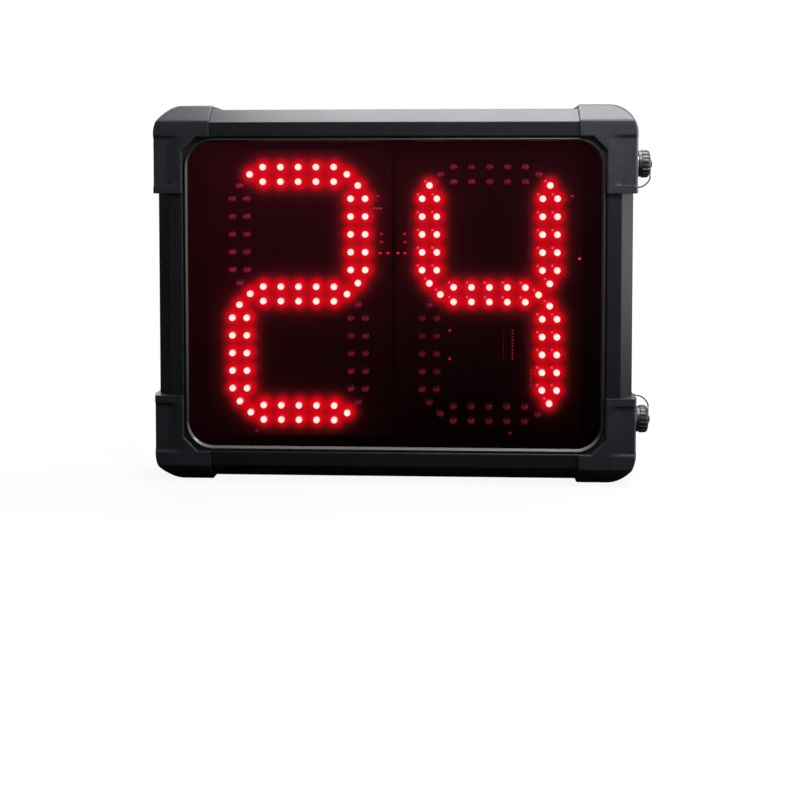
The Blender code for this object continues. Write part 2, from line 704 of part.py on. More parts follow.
# Window, gasket and rear cover
def make_window():
    half_width = OPENING_HALF_WIDTH + WINDOW_LAP
    half_height = OPENING_HALF_HEIGHT + WINDOW_LAP
    front = at_depth(WINDOW_V)
    outline = rectangle(half_width, half_height)
    front_plate("front_window", [outline], front, front + WINDOW_THICKNESS, SMOKED)

    flange_front = at_depth(GASKET_V)
    rear = flange_front + GASKET_FLANGE
    gasket = front_plate("window_gasket", [outline], flange_front, rear, GASKET_GREY)
    bead_width = OPENING_HALF_WIDTH - BEAD_GAP
    bead_height = OPENING_HALF_HEIGHT - BEAD_GAP
    bead = rounded_rectangle(bead_width, bead_height, BEAD_RADIUS + BEAD_WIDTH)
    bead_front = at_depth(BEAD_SET_BACK)
    fuse(gasket, front_plate("gasket_bead", [bead], bead_front, rear - GASKET_FLANGE / 2))
    view = rounded_rectangle(bead_width - BEAD_WIDTH, bead_height - BEAD_WIDTH, BEAD_RADIUS)
    cut(gasket, front_plate("gasket_view", [view], bead_front - FIT_GAP, rear + FIT_GAP))


def make_rear_cover():
    half_width = RAIL_HALF_WIDTH - RAIL_WALL - FIT_GAP
    half_height = RAIL_HALF_HEIGHT - RAIL_WALL - FIT_GAP
    edge = CORNER_PROUD + RAIL_WALL + FIT_GAP
    chamfer = 2 * (CORNER_BLOCK - edge) + 4 * FIT_GAP
    outline = []
    for side_x, side_z, order in ((1, 1, 1), (-1, 1, -1), (-1, -1, 1), (1, -1, -1)):
        ends = [(half_width, half_height - chamfer), (half_width - chamfer, half_height)]
        outline += [(side_x * x, side_z * z) for x, z in ends[::order]]
    front = RAIL_REAR_Y - COVER_THICKNESS
    cover = front_plate("rear_cover", [outline], front, RAIL_REAR_Y, COVER_BLACK)
    middle = RAIL_REAR_Y - COVER_THICKNESS / 2
    fuse(cover, taper("raised_panel", panel_outline(-middle), panel_outline(0), middle, 0))
    hollow_front = front - FIT_GAP
    mouth = panel_outline(PANEL_INNER_Y - hollow_front - PANEL_WALL_TRIM)
    floor = panel_outline(-PANEL_WALL_TRIM)
    cut(cover, taper("panel_hollow", mouth, floor, hollow_front, PANEL_INNER_Y))
    screw_holes(cover, screw_points())


def make_screws():
    for name, (x, z, seat) in screw_points().items():
        head = SCREW_HEAD_DIAMETER / 2
        shank = SCREW_DIAMETER / 2
        profile = [
            (0, SCREW_HEAD_HEIGHT),
            (head * 0.6, SCREW_HEAD_HEIGHT),
            (head, SCREW_HEAD_HEIGHT / 2),
            (head, 0),
            (shank, 0),
            (shank, -SCREW_LENGTH + shank),
            (shank / 2, -SCREW_LENGTH),
            (0, -SCREW_LENGTH),
        ]
        turned(name, profile, SMALL_STEPS, Y_AXIS, Vector((x, seat + FIT_GAP, z)), SCREW_BLACK)


# Digits
def segment_frames():
    """Give each segment's centre and whether it stands upright, in a digit's own x and z."""
    half_up = SEGMENT_UP / 2
    return {
        "a": (0, SEGMENT_UP, False),
        "b": (SEGMENT_ACROSS, half_up, True),
        "c": (SEGMENT_ACROSS, -half_up, True),
        "d": (0, -SEGMENT_UP, False),
        "e": (-SEGMENT_ACROSS, -half_up, True),
        "f": (-SEGMENT_ACROSS, half_up, True),
        "g": (0, 0, False),
    }


def led_places():
    """Give the LEDs of a segment as (along, across) from its centre."""
    places = [(-LED_END, 0), (LED_END, 0)]
    for pair in range(LED_PAIRS):
        along = (pair - (LED_PAIRS - 1) / 2) * LED_PITCH
        places += [(along, LED_ROW_GAP / 2), (along, -LED_ROW_GAP / 2)]
    return places


def make_leds(name, centre, along, across):
    """Make the twelve lenses of one segment as one mesh, pointing at -Y."""
    shell = bmesh.new()
    length = LED_HEIGHT - FIT_GAP - STRIP_THICKNESS / 2
    turn = Matrix.Rotation(math.radians(90), 4, "X")
    for step_along, step_across in led_places():
        place_on_board = centre + along * step_along + across * step_across - Y_AXIS * length / 2
        made = bmesh.ops.create_cone(
            shell,
            cap_ends=True,
            segments=LED_SIDES,
            radius1=LED_DIAMETER / 2,
            radius2=LED_DIAMETER / 2,
            depth=length,
            matrix=Matrix.Translation(place_on_board) @ turn,
        )
        tip = centre.y - length + FIT_GAP
        rim = {edge for vert in made["verts"] for edge in vert.link_edges}
        rim = [edge for edge in rim if all(vert.co.y < tip for vert in edge.verts)]
        bmesh.ops.bevel(shell, geom=rim, offset=LED_DOME, segments=1, affect="EDGES", profile=0.5)
    mesh = bpy.data.meshes.new(name)
    shell.to_mesh(mesh)
    shell.free()
    return place(name, mesh, None)


def make_segment(hand, letter, digit_x):
    """Make one segment: twelve LEDs on a thin spacer strip."""
    x, z, upright = segment_frames()[letter]
    along = Z_AXIS if upright else X_AXIS
    across = X_AXIS if upright else Z_AXIS
    half_width = LED_ROW_GAP / 2 + LED_DIAMETER / 2 + STRIP_MARGIN
    half_length = LED_END + math.sqrt(2) * (LED_DIAMETER / 2 + STRIP_MARGIN)
    shoulder = half_length - half_width
    outline = []
    for step_along, step_across in (
        (half_length, 0),
        (shoulder, half_width),
        (-shoulder, half_width),
        (-half_length, 0),
        (-shoulder, -half_width),
        (shoulder, -half_width),
    ):
        step = along * step_along + across * step_across
        outline.append((digit_x + x + step.x, z + step.z))
    rear = at_depth(BOARD_V) - FIT_GAP
    material = LED_LIT if letter in DIGIT_SHOWN[hand] else LED_DARK
    name = f"{hand}_segment_{letter}"
    strip = front_plate(name, [outline], rear - STRIP_THICKNESS, rear, material)
    centre = Vector((digit_x + x, rear - STRIP_THICKNESS / 2, z))
    fuse(strip, make_leds(f"{name}_leds", centre, along, across))


def make_digit(hand, side):
    """Make one digit's board, with its header behind, and its seven segments."""
    digit_x = side * DIGIT_PITCH / 2
    front = at_depth(BOARD_V)
    rear = front + BOARD_THICKNESS
    centre = Vector((digit_x, (front + rear) / 2, 0))
    size = Vector((DIGIT_BOARD_WIDTH, BOARD_THICKNESS, DIGIT_BOARD_HEIGHT))
    board = boxes(f"{hand}_digit_board", [(centre, size)], BOARD_BLACK)
    header = Vector((HEADER_WIDTH, DIGIT_HEADER_DEPTH + PART_SINK, HEADER_HEIGHT))
    header_y = rear + (DIGIT_HEADER_DEPTH - PART_SINK) / 2
    chip = Vector((CHIP_WIDTH, CHIP_THICKNESS, CHIP_LENGTH))
    chip_y = front - chip.y / 2 + PART_SINK
    parts = [(Vector((digit_x, header_y, 0)), header)]
    for level in (1, -1):
        for column in (1, -1):
            chip_x = digit_x + column * SEGMENT_ACROSS / 3
            parts.append((Vector((chip_x, chip_y, level * SEGMENT_UP / 2)), chip))
    fuse(board, boxes(f"{hand}_digit_board_parts", parts))
    for letter in segment_frames():
        make_segment(hand, letter, digit_x)


def make_bar(level, side):
    """Make one bar: an angle from side rail to side rail, with a post to each board corner."""
    half_length = RAIL_HALF_WIDTH - RAIL_WALL - FIT_GAP
    z = side * BAR_LEVEL
    half_height = BAR_HEIGHT / 2
    front = at_depth(BAR_V)
    section = [
        (front, -half_height),
        (front + BAR_THICKNESS + BAR_LEG, -half_height),
        (front + BAR_THICKNESS + BAR_LEG, -half_height + BAR_THICKNESS),
        (front + BAR_THICKNESS, -half_height + BAR_THICKNESS),
        (front + BAR_THICKNESS, half_height),
        (front, half_height),
    ]
    section = [(y, z + side * up) for y, up in section]
    name = f"{level}_board_bar"
    bar = prism(name, [section], 2 * half_length, Y_AXIS, Z_AXIS, Vector(), BAR_METAL)
    for hand in (-1, 1):
        for edge in (-1, 1):
            x = hand * DIGIT_PITCH / 2 + edge * (DIGIT_BOARD_WIDTH / 2 - POST_INSET)
            length = POST_LENGTH + BAR_THICKNESS / 2
            centre = Vector((x, front + BAR_THICKNESS / 2 - length / 2, z))
            post = f"{name}_post_{hand}_{edge}"
            fuse(bar, rod(post, POST_DIAMETER / 2, length, Y_AXIS, centre, SMALL_STEPS))


# Electronics behind the digits
def controller_header_x(hand):
    if hand == "left":
        return -DIGIT_PITCH / 2
    return CONTROLLER_X + CONTROLLER_WIDTH / 2 - CONTROLLER_HEADER_INSET


def make_controller():
    """Make the controller board on four standoffs, with its main parts in front."""
    front = CONTROLLER_Y
    centre = Vector((CONTROLLER_X, front + BOARD_THICKNESS / 2, 0))
    size = Vector((CONTROLLER_WIDTH, BOARD_THICKNESS, CONTROLLER_HEIGHT))
    board = boxes("controller_board", [(centre, size)], BOARD_BLACK)
    parts = []
    for hand in ("left", "right"):
        header = Vector((HEADER_WIDTH, CONTROLLER_HEADER_DEPTH + PART_SINK, HEADER_HEIGHT))
        header_y = front - (CONTROLLER_HEADER_DEPTH - PART_SINK) / 2
        parts.append((Vector((controller_header_x(hand), header_y, 0)), header))
    processor = Vector((PROCESSOR_SIDE, PROCESSOR_THICKNESS, PROCESSOR_SIDE))
    processor_y = front - processor.y / 2 + PART_SINK
    parts.append((Vector((CONTROLLER_X, processor_y, 0)), processor))
    terminal = Vector((TERMINAL_WIDTH, TERMINAL_DEPTH, TERMINAL_HEIGHT))
    parts.append((terminal_centre(), terminal))
    fuse(board, boxes("controller_parts", parts))
    radius = CONTROLLER_POST_DIAMETER / 2
    length = CONTROLLER_STANDOFF + PART_SINK
    y = front + BOARD_THICKNESS - PART_SINK + length / 2
    for side_x in (-1, 1):
        for side_z in (-1, 1):
            x = CONTROLLER_X + side_x * (CONTROLLER_WIDTH / 2 - CONTROLLER_POST_INSET)
            z = side_z * (CONTROLLER_HEIGHT / 2 - CONTROLLER_POST_INSET)
            name = f"controller_post_{side_x}_{side_z}"
            fuse(board, rod(name, radius, length, Y_AXIS, Vector((x, y, z)), SMALL_STEPS))


def terminal_centre():
    """Give the centre of the controller's screw terminal, at its right-hand edge."""
    x = CONTROLLER_X + CONTROLLER_WIDTH / 2 - TERMINAL_WIDTH / 2
    y = CONTROLLER_Y + PART_SINK - TERMINAL_DEPTH / 2
    return Vector((x, y, CONTROLLER_HEIGHT / 2 - TERMINAL_HEIGHT))


def make_radio():
    """Make the radio module that stands on the controller, with its aerial."""
    size = Vector((RADIO_WIDTH, RADIO_THICKNESS, RADIO_HEIGHT))
    pins = Vector((RADIO_PINS_WIDTH, RADIO_STAND, RADIO_PINS_HEIGHT))
    can = Vector((RADIO_CAN_WIDTH, RADIO_CAN_DEPTH, RADIO_CAN_HEIGHT))
    x = CONTROLLER_X - CONTROLLER_WIDTH / 2 + size.x / 2 + RADIO_INSET_X
    y = CONTROLLER_Y - FIT_GAP - RADIO_STAND
    z = CONTROLLER_HEIGHT / 2 - size.z / 2 - RADIO_INSET_Z
    board = boxes("radio_module", [(Vector((x, y, z)), size)], BOARD_BLACK)
    pins_centre = Vector((x, CONTROLLER_Y - FIT_GAP - pins.y / 2, z))
    can_centre = Vector((x + size.x / 5, y - size.y / 2 - can.y / 2 + PART_SINK, z))
    fuse(board, boxes("radio_parts", [(pins_centre, pins), (can_centre, can)]))
    radius = AERIAL_DIAMETER / 2
    centre = Vector((x - size.x / 3, y - radius, z + AERIAL_LENGTH / 2))
    fuse(board, rod("aerial", radius, AERIAL_LENGTH, Z_AXIS, centre, SMALL_STEPS))


def make_converter():
    """Make the potted power converter, with a fixing ear at each end."""
    size = Vector((CONVERTER_WIDTH, CONVERTER_DEPTH, CONVERTER_HEIGHT))
    centre = Vector((CONVERTER_X, PANEL_INNER_Y - FIT_GAP - size.y / 2, CONVERTER_Z))
    converter = boxes("power_converter", [(centre, size)], CONVERTER_CASE)
    ear = Vector((CONVERTER_EAR_WIDTH, CONVERTER_EAR_THICKNESS, CONVERTER_EAR_LENGTH))
    ears = []
    for side in (-1, 1):
        offset = Vector((0, size.y / 2 - ear.y / 2, side * (size.z / 2 + ear.z / 2 - PART_SINK)))
        ears.append((centre + offset, ear))
    fuse(converter, boxes("converter_ears", ears))


def make_buzzer():
    """Make the round buzzer, with its flange against the rear cover and its sound hole."""
    radius = BUZZER_DIAMETER / 2
    hole = BUZZER_HOLE_DIAMETER / 2
    profile = [
        (0, BUZZER_HEIGHT - BUZZER_FLANGE_THICKNESS),
        (hole, BUZZER_HEIGHT - BUZZER_FLANGE_THICKNESS),
        (hole, BUZZER_HEIGHT),
        (radius - BUZZER_CHAMFER, BUZZER_HEIGHT),
        (radius, BUZZER_HEIGHT - BUZZER_CHAMFER),
        (radius, BUZZER_FLANGE_THICKNESS),
        (radius + BUZZER_FLANGE, BUZZER_FLANGE_THICKNESS),
        (radius + BUZZER_FLANGE, 0),
        (0, 0),
    ]
    centre = Vector((BUZZER_X, PANEL_INNER_Y - FIT_GAP, BUZZER_Z))
    turned("buzzer", profile, ROUND_STEPS, -Y_AXIS, centre, BUZZER_BLACK)


# Sockets, dust caps and tethers
def make_socket(level, y, z):
    """Make a socket, its seal under the flange and its nut behind the rail's wall."""
    flange = SOCKET_FLANGE_DIAMETER / 2
    barrel = SOCKET_BARREL_DIAMETER / 2
    shank = SOCKET_SHANK_DIAMETER / 2
    cavity = SOCKET_CAVITY_DIAMETER / 2
    top = SOCKET_FLANGE + SOCKET_BARREL_LENGTH
    profile = [
        (0, top - SOCKET_CAVITY_DEPTH),
        (cavity, top - SOCKET_CAVITY_DEPTH),
        (cavity, top),
        (barrel - SOCKET_CHAMFER, top),
        (barrel, top - SOCKET_CHAMFER),
        (barrel, SOCKET_FLANGE),
        (flange, SOCKET_FLANGE),
        (flange, 0),
        (shank, 0),
        (shank, -SOCKET_SHANK_LENGTH),
        (0, -SOCKET_SHANK_LENGTH),
    ]
    centre = Vector((SOCKET_FLANGE_X, y, z))
    socket = turned(f"{level}_socket", profile, ROUND_STEPS, X_AXIS, centre, NICKEL)
    for number in range(CONTACT_COUNT):
        angle = math.radians(45 + 360 * number / CONTACT_COUNT)
        offset = Vector((0, math.cos(angle), math.sin(angle))) * CONTACT_CIRCLE
        contact = centre + offset + X_AXIS * (top - SOCKET_CAVITY_DEPTH)
        hole = rod(f"{level}_contact_{number}", CONTACT_DIAMETER / 2, 2 * CONTACT_DEPTH, X_AXIS, contact, 6)
        cut(socket, hole)

    bore = shank + FIT_GAP
    seal = SEAL_DIAMETER / 2
    ring = [(seal, SEAL_THICKNESS), (seal, 0), (bore, 0), (bore, SEAL_THICKNESS)]
    centre = Vector((SEAL_X, y, z))
    turned(f"{level}_socket_seal", ring, ROUND_STEPS, X_AXIS, centre, SEAL_RUBBER, ring=True)

    outlines = [polygon(NUT_ACROSS_FLATS / math.sqrt(3), 6), polygon(bore, ROUND_STEPS)]
    centre = Vector((RAIL_HALF_WIDTH - RAIL_WALL - FIT_GAP - NUT_THICKNESS / 2, y, z))
    prism(f"{level}_socket_nut", outlines, NUT_THICKNESS, Y_AXIS, Z_AXIS, centre, NICKEL)


def make_cap(level, y, z):
    """Make a dust cap: a turned cup with a stud, cut to a knurled outline."""
    outer = CAP_DIAMETER / 2
    rim = CAP_RIM_DIAMETER / 2
    bore = SOCKET_BARREL_DIAMETER / 2 + FIT_GAP
    stud = STUD_DIAMETER / 2
    head = STUD_HEAD_DIAMETER / 2
    head_base = STUD_HEAD_X - CAP_X
    top = head_base + STUD_HEAD_HEIGHT
    profile = [
        (0, top),
        (head * 0.7, top),
        (head, top - STUD_HEAD_HEIGHT / 2),
        (head, head_base),
        (stud, head_base),
        (stud, CAP_LENGTH),
        (outer - CAP_CHAMFER, CAP_LENGTH),
        (outer, CAP_LENGTH - CAP_CHAMFER),
        (outer, CAP_RIM_LENGTH),
        (rim, CAP_RIM_LENGTH),
        (rim, 0),
        (bore, 0),
        (bore, CAP_LENGTH - CAP_END_WALL),
        (0, CAP_LENGTH - CAP_END_WALL),
    ]
    cap = turned(f"{level}_cap", profile, ROUND_STEPS, X_AXIS, Vector((CAP_X, y, z)), CAP_METAL)
    knurl = []
    for rib in range(KNURL_COUNT):
        for turn, radius in ((0, outer), (0.5, outer), (0.75, outer - KNURL_DEPTH)):
            angle = math.radians(360 * (rib + turn) / KNURL_COUNT)
            knurl.append((radius * math.cos(angle), radius * math.sin(angle)))
    length = top + 2 * FIT_GAP
    centre = Vector((CAP_X - FIT_GAP + length / 2, y, z))
    combine(cap, prism(f"{level}_knurl", [knurl], length, Y_AXIS, Z_AXIS, centre), "INTERSECT")


def make_tag(level, y, z, side):
    """Make the flat tag that swivels on the cap's stud; its tail points at the anchor."""
    ring = TAG_DIAMETER / 2
    half_tail = TAG_TAIL_WIDTH / 2
    shoulder = math.degrees(math.asin(half_tail / ring))
    outline = [(half_tail, TAG_TAIL_LENGTH), (-half_tail, TAG_TAIL_LENGTH)]
    start = 90 + shoulder
    turn_steps = 2 * SMALL_STEPS
    for step in range(turn_steps + 1):
        angle = math.radians(start + (360 - 2 * shoulder) * step / turn_steps)
        outline.append((ring * math.cos(angle), ring * math.sin(angle)))
    outline = [(across, side * up) for across, up in outline]
    hole = polygon(STUD_DIAMETER / 2 + TURN_GAP, SMALL_STEPS)
    centre = Vector((TAG_X + TAG_THICKNESS / 2, y, z))
    prism(f"{level}_cap_tag", [outline, hole], TAG_THICKNESS, Y_AXIS, Z_AXIS, centre, NICKEL)


def make_anchor(level, y, z):
    """Make the pin in the corner piece's side that the tether's lower end is crimped in."""
    flange = ANCHOR_FLANGE_DIAMETER / 2
    profile = [
        (0, ANCHOR_FLANGE + ANCHOR_CONE_LENGTH),
        (ANCHOR_TIP_DIAMETER / 2, ANCHOR_FLANGE + ANCHOR_CONE_LENGTH),
        (ANCHOR_CONE_DIAMETER / 2, ANCHOR_FLANGE),
        (flange, ANCHOR_FLANGE),
        (flange, 0),
        (ANCHOR_PIN_DIAMETER / 2, 0),
        (ANCHOR_PIN_DIAMETER / 2, -ANCHOR_PIN_LENGTH),
        (0, -ANCHOR_PIN_LENGTH),
    ]
    turned(f"{level}_tether_anchor", profile, SMALL_STEPS, X_AXIS, Vector((SEAL_X, y, z)), NICKEL)


def make_tether(level, y, z, side):
    """Make the wire from the tag's tail, out over the cap's edge and back to the anchor."""
    start_x = TAG_X + TAG_THICKNESS / 2
    end_x = SEAL_X + ANCHOR_FLANGE + ANCHOR_CONE_LENGTH + FIT_GAP
    reach = end_x - start_x
    drop = ANCHOR_OFFSET - TAG_TAIL_LENGTH - FIT_GAP
    route = [(0, 0), (0, 0.17), (0.05, 0.35), (0.17, 0.55), (0.38, 0.77), (0.67, 0.94), (1, 1)]
    points = []
    for across, down in route:
        up = z + side * (TAG_TAIL_LENGTH + FIT_GAP + down * drop)
        points.append((start_x + across * reach, y, up))
    tube(f"{level}_tether", points, TETHER_DIAMETER, 1, TETHER_STEEL)


def make_sockets():
    for level, (y, z, side) in socket_places().items():
        make_socket(level, y, z)
        make_cap(level, y, z)
        make_tag(level, y, z, side)
        make_anchor(level, y, z + side * ANCHOR_OFFSET)
        make_tether(level, y, z, side)


# Leads inside the box
def make_leads():
    start_x = SOCKET_INNER_X - FIT_GAP
    bend_x = start_x - LEAD_RUN_OUT - LEAD_BEND
    back_y = SOCKET_Y + LEAD_SET_BACK
    end = terminal_centre() + X_AXIS * (TERMINAL_WIDTH / 2 + FIT_GAP)
    fall = SOCKET_Z - LEAD_DROP - end.z
    reach = bend_x - end.x
    signal = [
        (start_x, SOCKET_Y, SOCKET_Z),
        (start_x - LEAD_RUN_OUT, SOCKET_Y, SOCKET_Z),
        (bend_x, back_y, SOCKET_Z - LEAD_DROP),
        (end.x + reach / 2, (back_y + end.y) / 2, end.z + fall / 2),
        (end.x + LEAD_RUN_OUT + LEAD_BEND, end.y, end.z + LEAD_DROP / 2),
        (end.x + LEAD_RUN_OUT, end.y, end.z),
        tuple(end),
    ]
    tube("signal_lead", signal, LEAD_DIAMETER, 2, LEAD_JACKET)
    end_x = CONVERTER_X + CONVERTER_WIDTH / 2 + FIT_GAP
    end_y = PANEL_INNER_Y - FIT_GAP - CONVERTER_DEPTH / 2
    power = [
        (start_x, SOCKET_Y, -SOCKET_Z),
        (start_x - LEAD_RUN_OUT, SOCKET_Y, -SOCKET_Z),
        (start_x - LEAD_BEND, back_y, -SOCKET_Z + LEAD_DROP),
        (end_x + LEAD_BEND, (back_y + end_y) / 2, CONVERTER_Z - LEAD_DROP),
        (end_x + LEAD_RUN_OUT, end_y, CONVERTER_Z),
        (end_x, end_y, CONVERTER_Z),
    ]
    tube("power_lead", power, LEAD_DIAMETER, 2, LEAD_JACKET)
    make_ribbon("left", -DIGIT_PITCH / 2)
    make_ribbon("right", DIGIT_PITCH / 2)


def make_ribbon(hand, digit_x):
    """Make a flat ribbon from a controller header forward to a digit board's header."""
    start_y = CONTROLLER_Y - CONTROLLER_HEADER_DEPTH - FIT_GAP
    end_y = at_depth(BOARD_V) + BOARD_THICKNESS + DIGIT_HEADER_DEPTH + FIT_GAP
    start_x = controller_header_x(hand)
    reach = digit_x - start_x
    bulge = RIBBON_BULGE if hand == "left" else 0
    route = [(0, 0, 0), (0, 0.2, 0), (0.2, 0.42, 1), (0.8, 0.58, -1), (1, 0.8, 0), (1, 1, 0)]
    path = []
    for across, forward, side in route:
        y = start_y + forward * (end_y - start_y)
        path.append((start_x + across * reach + side * bulge, y, 0))
    path = smooth_path(path, RIBBON_WIDTH / 5)
    edges = {1: [], -1: []}
    for here, before, after in zip(path, [path[0], *path], [*path[1:], path[-1]]):
        normal = (after - before).cross(Z_AXIS).normalized() * RIBBON_THICKNESS / 2
        for side, edge in edges.items():
            edge.append(((here + normal * side).x, (here + normal * side).y))
    outline = edges[1] + edges[-1][::-1]
    prism(f"{hand}_ribbon_cable", [outline], RIBBON_WIDTH, X_AXIS, Y_AXIS, Vector(), RIBBON_GREY)


def shade_parts():
    """Shade the round pieces smooth and keep their edges sharp."""
    for obj in PARTS.objects:
        if obj.type == "MESH" and obj.data.polygons:
            obj.data.shade_smooth()
            obj.data.set_sharp_from_angle(angle=math.radians(35))


make_rails()
make_corners()
make_window()
make_rear_cover()
make_screws()
make_digit("left", -1)
make_digit("right", 1)
make_bar("upper", 1)
make_bar("lower", -1)
make_controller()
make_radio()
make_converter()
make_buzzer()
make_sockets()
make_leads()
shade_parts()
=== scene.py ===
"""Dress the countdown timer: fine shapes, finishes, the lit digits, the studio and the camera.

Lengths inside the classes are millimetres in the part's own frame: +X to the right seen
from the front, the front faces -Y, +Z is up. Depths named v run back from the rails' front.
"""

import logging
import math
from dataclasses import dataclass
from enum import Enum

import bpy
import numpy as np
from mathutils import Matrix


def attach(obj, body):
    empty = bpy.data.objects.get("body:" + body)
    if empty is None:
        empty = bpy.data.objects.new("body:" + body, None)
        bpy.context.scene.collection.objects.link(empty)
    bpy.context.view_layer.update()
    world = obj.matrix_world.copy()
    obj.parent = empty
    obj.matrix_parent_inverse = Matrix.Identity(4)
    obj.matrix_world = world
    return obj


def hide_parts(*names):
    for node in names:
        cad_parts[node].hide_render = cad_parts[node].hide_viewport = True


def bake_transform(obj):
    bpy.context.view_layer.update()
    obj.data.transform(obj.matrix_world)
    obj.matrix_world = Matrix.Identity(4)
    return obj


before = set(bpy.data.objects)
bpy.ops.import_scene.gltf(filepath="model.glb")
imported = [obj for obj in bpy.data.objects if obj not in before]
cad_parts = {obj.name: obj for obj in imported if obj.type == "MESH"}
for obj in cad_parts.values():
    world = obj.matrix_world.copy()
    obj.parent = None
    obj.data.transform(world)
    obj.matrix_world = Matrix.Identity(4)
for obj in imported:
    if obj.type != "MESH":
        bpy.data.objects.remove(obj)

LOG = logging.getLogger("timer_scene")
MM = 0.001
BOX = "timer_box"
GLOW = "glow"
X_AXIS = np.array([1.0, 0, 0])
Y_AXIS = np.array([0, 1.0, 0])
Z_AXIS = np.array([0, 0, 1.0])
SQUARE = np.array([[-1.0, -1], [1, -1], [1, 1], [-1, 1]])

# Places and holes that several sub-assemblies share
RAIL_FRONT = -67.6
HALF_OPENING = (162.0, 121.0)
CORNER_SCREW = (151.5, 133.2)
SCREW_HOLE = 1.8
SOCKET_PLACE = (-22.6, 101.5)
SOCKET_HOLE = 8.3
ANCHOR_DROP = 18.8


class Grain(Enum):
    """The small-scale look of an opaque finish."""

    BLASTED = "blasted"
    BRUSHED = "brushed"
    PEEL = "peel"
    MOULDED = "moulded"


class Hand(Enum):
    """Left or right, seen from the front."""

    LEFT = -1
    RIGHT = 1

    @property
    def word(self) -> str:
        """The word used in node names."""
        return self.name.lower()


class Level(Enum):
    """Top or bottom."""

    TOP = 1
    BOTTOM = -1

    @property
    def word(self) -> str:
        """The word used for corner pieces and rails."""
        return self.name.lower()

    @property
    def socket_word(self) -> str:
        """The word used for sockets, caps and bars."""
        return "upper" if self is Level.TOP else "lower"


# Shells: closed surfaces worked out as arrays


@dataclass
class Shell:
    """A closed surface: points in millimetres, faces as index lists and a value per point."""

    points: np.ndarray
    faces: list
    finish: int = 0
    values: np.ndarray | None = None

    def outward(self) -> "Shell":
        """Turn the faces outward when the volume they enclose comes out negative.

        Returns:
            The same shell.
        """
        volume = 0.0
        for size in {len(face) for face in self.faces}:
            corners = self.points[np.array([face for face in self.faces if len(face) == size])]
            corners = corners - self.points.mean(axis=0)
            first = corners[:, :1]
            fan = np.cross(corners[:, 1:-1], corners[:, 2:])
            volume += float((first * fan).sum())
        if volume < 0:
            self.faces = [list(face)[::-1] for face in self.faces]
        return self


def join(*parts: np.ndarray | float) -> np.ndarray:
    """Fit coordinates to each other's shape and put them side by side on a last axis."""
    return np.stack(np.broadcast_arrays(*parts), axis=-1)


def at_depth(flat: np.ndarray, y: np.ndarray | float) -> np.ndarray:
    """Put flat points, given as x and z, at the depth y."""
    return join(flat[..., 0], y, flat[..., 1])


def deep(flat: np.ndarray, v: np.ndarray | float) -> np.ndarray:
    """Give flat points the depth v as their last coordinate."""
    return join(flat[..., 0], flat[..., 1], v)


def evenly(count: int, pitch: float) -> np.ndarray:
    """Give places spread evenly about zero."""
    return (np.arange(count) - (count - 1) / 2) * pitch


def circle(radius: float, steps: int) -> np.ndarray:
    """Give a circle's points: radius times cosine and sine."""
    angle = 2 * np.pi * np.arange(steps) / steps
    return radius * join(np.cos(angle), np.sin(angle))


def hexagon(steps: int) -> np.ndarray:
    """Give a hexagon's radius all round: 1 over the cosine of the turn from the nearest side's middle."""
    angle = 2 * np.pi * np.arange(steps) / steps
    return 1 / np.cos(np.mod(angle, np.pi / 3) - np.pi / 6)


def smoothstep(low: float, high: float, value: np.ndarray) -> np.ndarray:
    """Rise smoothly from 0 at low to 1 at high: 3t^2 - 2t^3."""
    t = np.clip((value - low) / (high - low), 0, 1)
    return t * t * (3 - 2 * t)


def bezier(start: np.ndarray, corner: np.ndarray, end: np.ndarray, steps: int) -> np.ndarray:
    """Give quadratic curves: (1-t)^2 start + 2t(1-t) corner + t^2 end, for each station.

    Args:
        start: first points, one per station.
        corner: corner points.
        end: last points.
        steps: pieces in each curve.

    Returns:
        Stations, points and coordinates.
    """
    t = np.linspace(0, 1, steps + 1)[None, :, None]
    return (1 - t) ** 2 * start[:, None] + 2 * t * (1 - t) * corner[:, None] + t**2 * end[:, None]


def grid_quads(index: np.ndarray) -> np.ndarray:
    """List the quads of a grid of point indices, four indices each."""
    return join(index[:-1, :-1], index[:-1, 1:], index[1:, 1:], index[1:, :-1]).reshape(-1, 4)


def ring_quads(rows: int, columns: int, loop: bool = False) -> np.ndarray:
    """List the quads between neighbouring rings, each ring closed on itself.

    Args:
        rows: number of rings.
        columns: points in each ring.
        loop: join the last ring to the first.

    Returns:
        Four point indices per quad.
    """
    row = np.arange(rows if loop else rows - 1)[:, None]
    here = np.arange(columns)[None, :]
    there = (here + 1) % columns
    low = row * columns
    high = ((row + 1) % rows) * columns
    return join(low + here, low + there, high + there, high + here).reshape(-1, 4)


def loft(rings: np.ndarray, loop: bool = False, finish: int = 0) -> Shell:
    """Join rings of points, in order, into a closed surface.

    Args:
        rings: array of rings, points and coordinates.
        loop: the last ring joins the first; otherwise both ends are closed by a flat face.
        finish: index of the material.

    Returns:
        The closed shell.
    """
    rows, columns = rings.shape[:2]
    faces = ring_quads(rows, columns, loop).tolist()
    if not loop:
        faces.append(list(range(columns))[::-1])
        faces.append(list(range((rows - 1) * columns, rows * columns)))
    return Shell(rings.reshape(-1, 3), faces, finish).outward()


def rings_about(axis: np.ndarray, ways: np.ndarray, radii: np.ndarray, heights: np.ndarray,
                centre: tuple) -> np.ndarray:
    """Give rings of points about an axis: centre + radius * way + height * axis.

    Args:
        axis: unit vector of the axis.
        ways: the directions round it.
        radii: a radius per ring, or per ring and direction.
        heights: a height per ring.
        centre: the point of height zero.

    Returns:
        Rings, points and coordinates.
    """
    radii, heights = np.asarray(radii, float), np.asarray(heights, float)
    flat = radii.reshape(len(heights), -1, 1) * ways
    return flat + heights[:, None, None] * axis + np.asarray(centre, float)


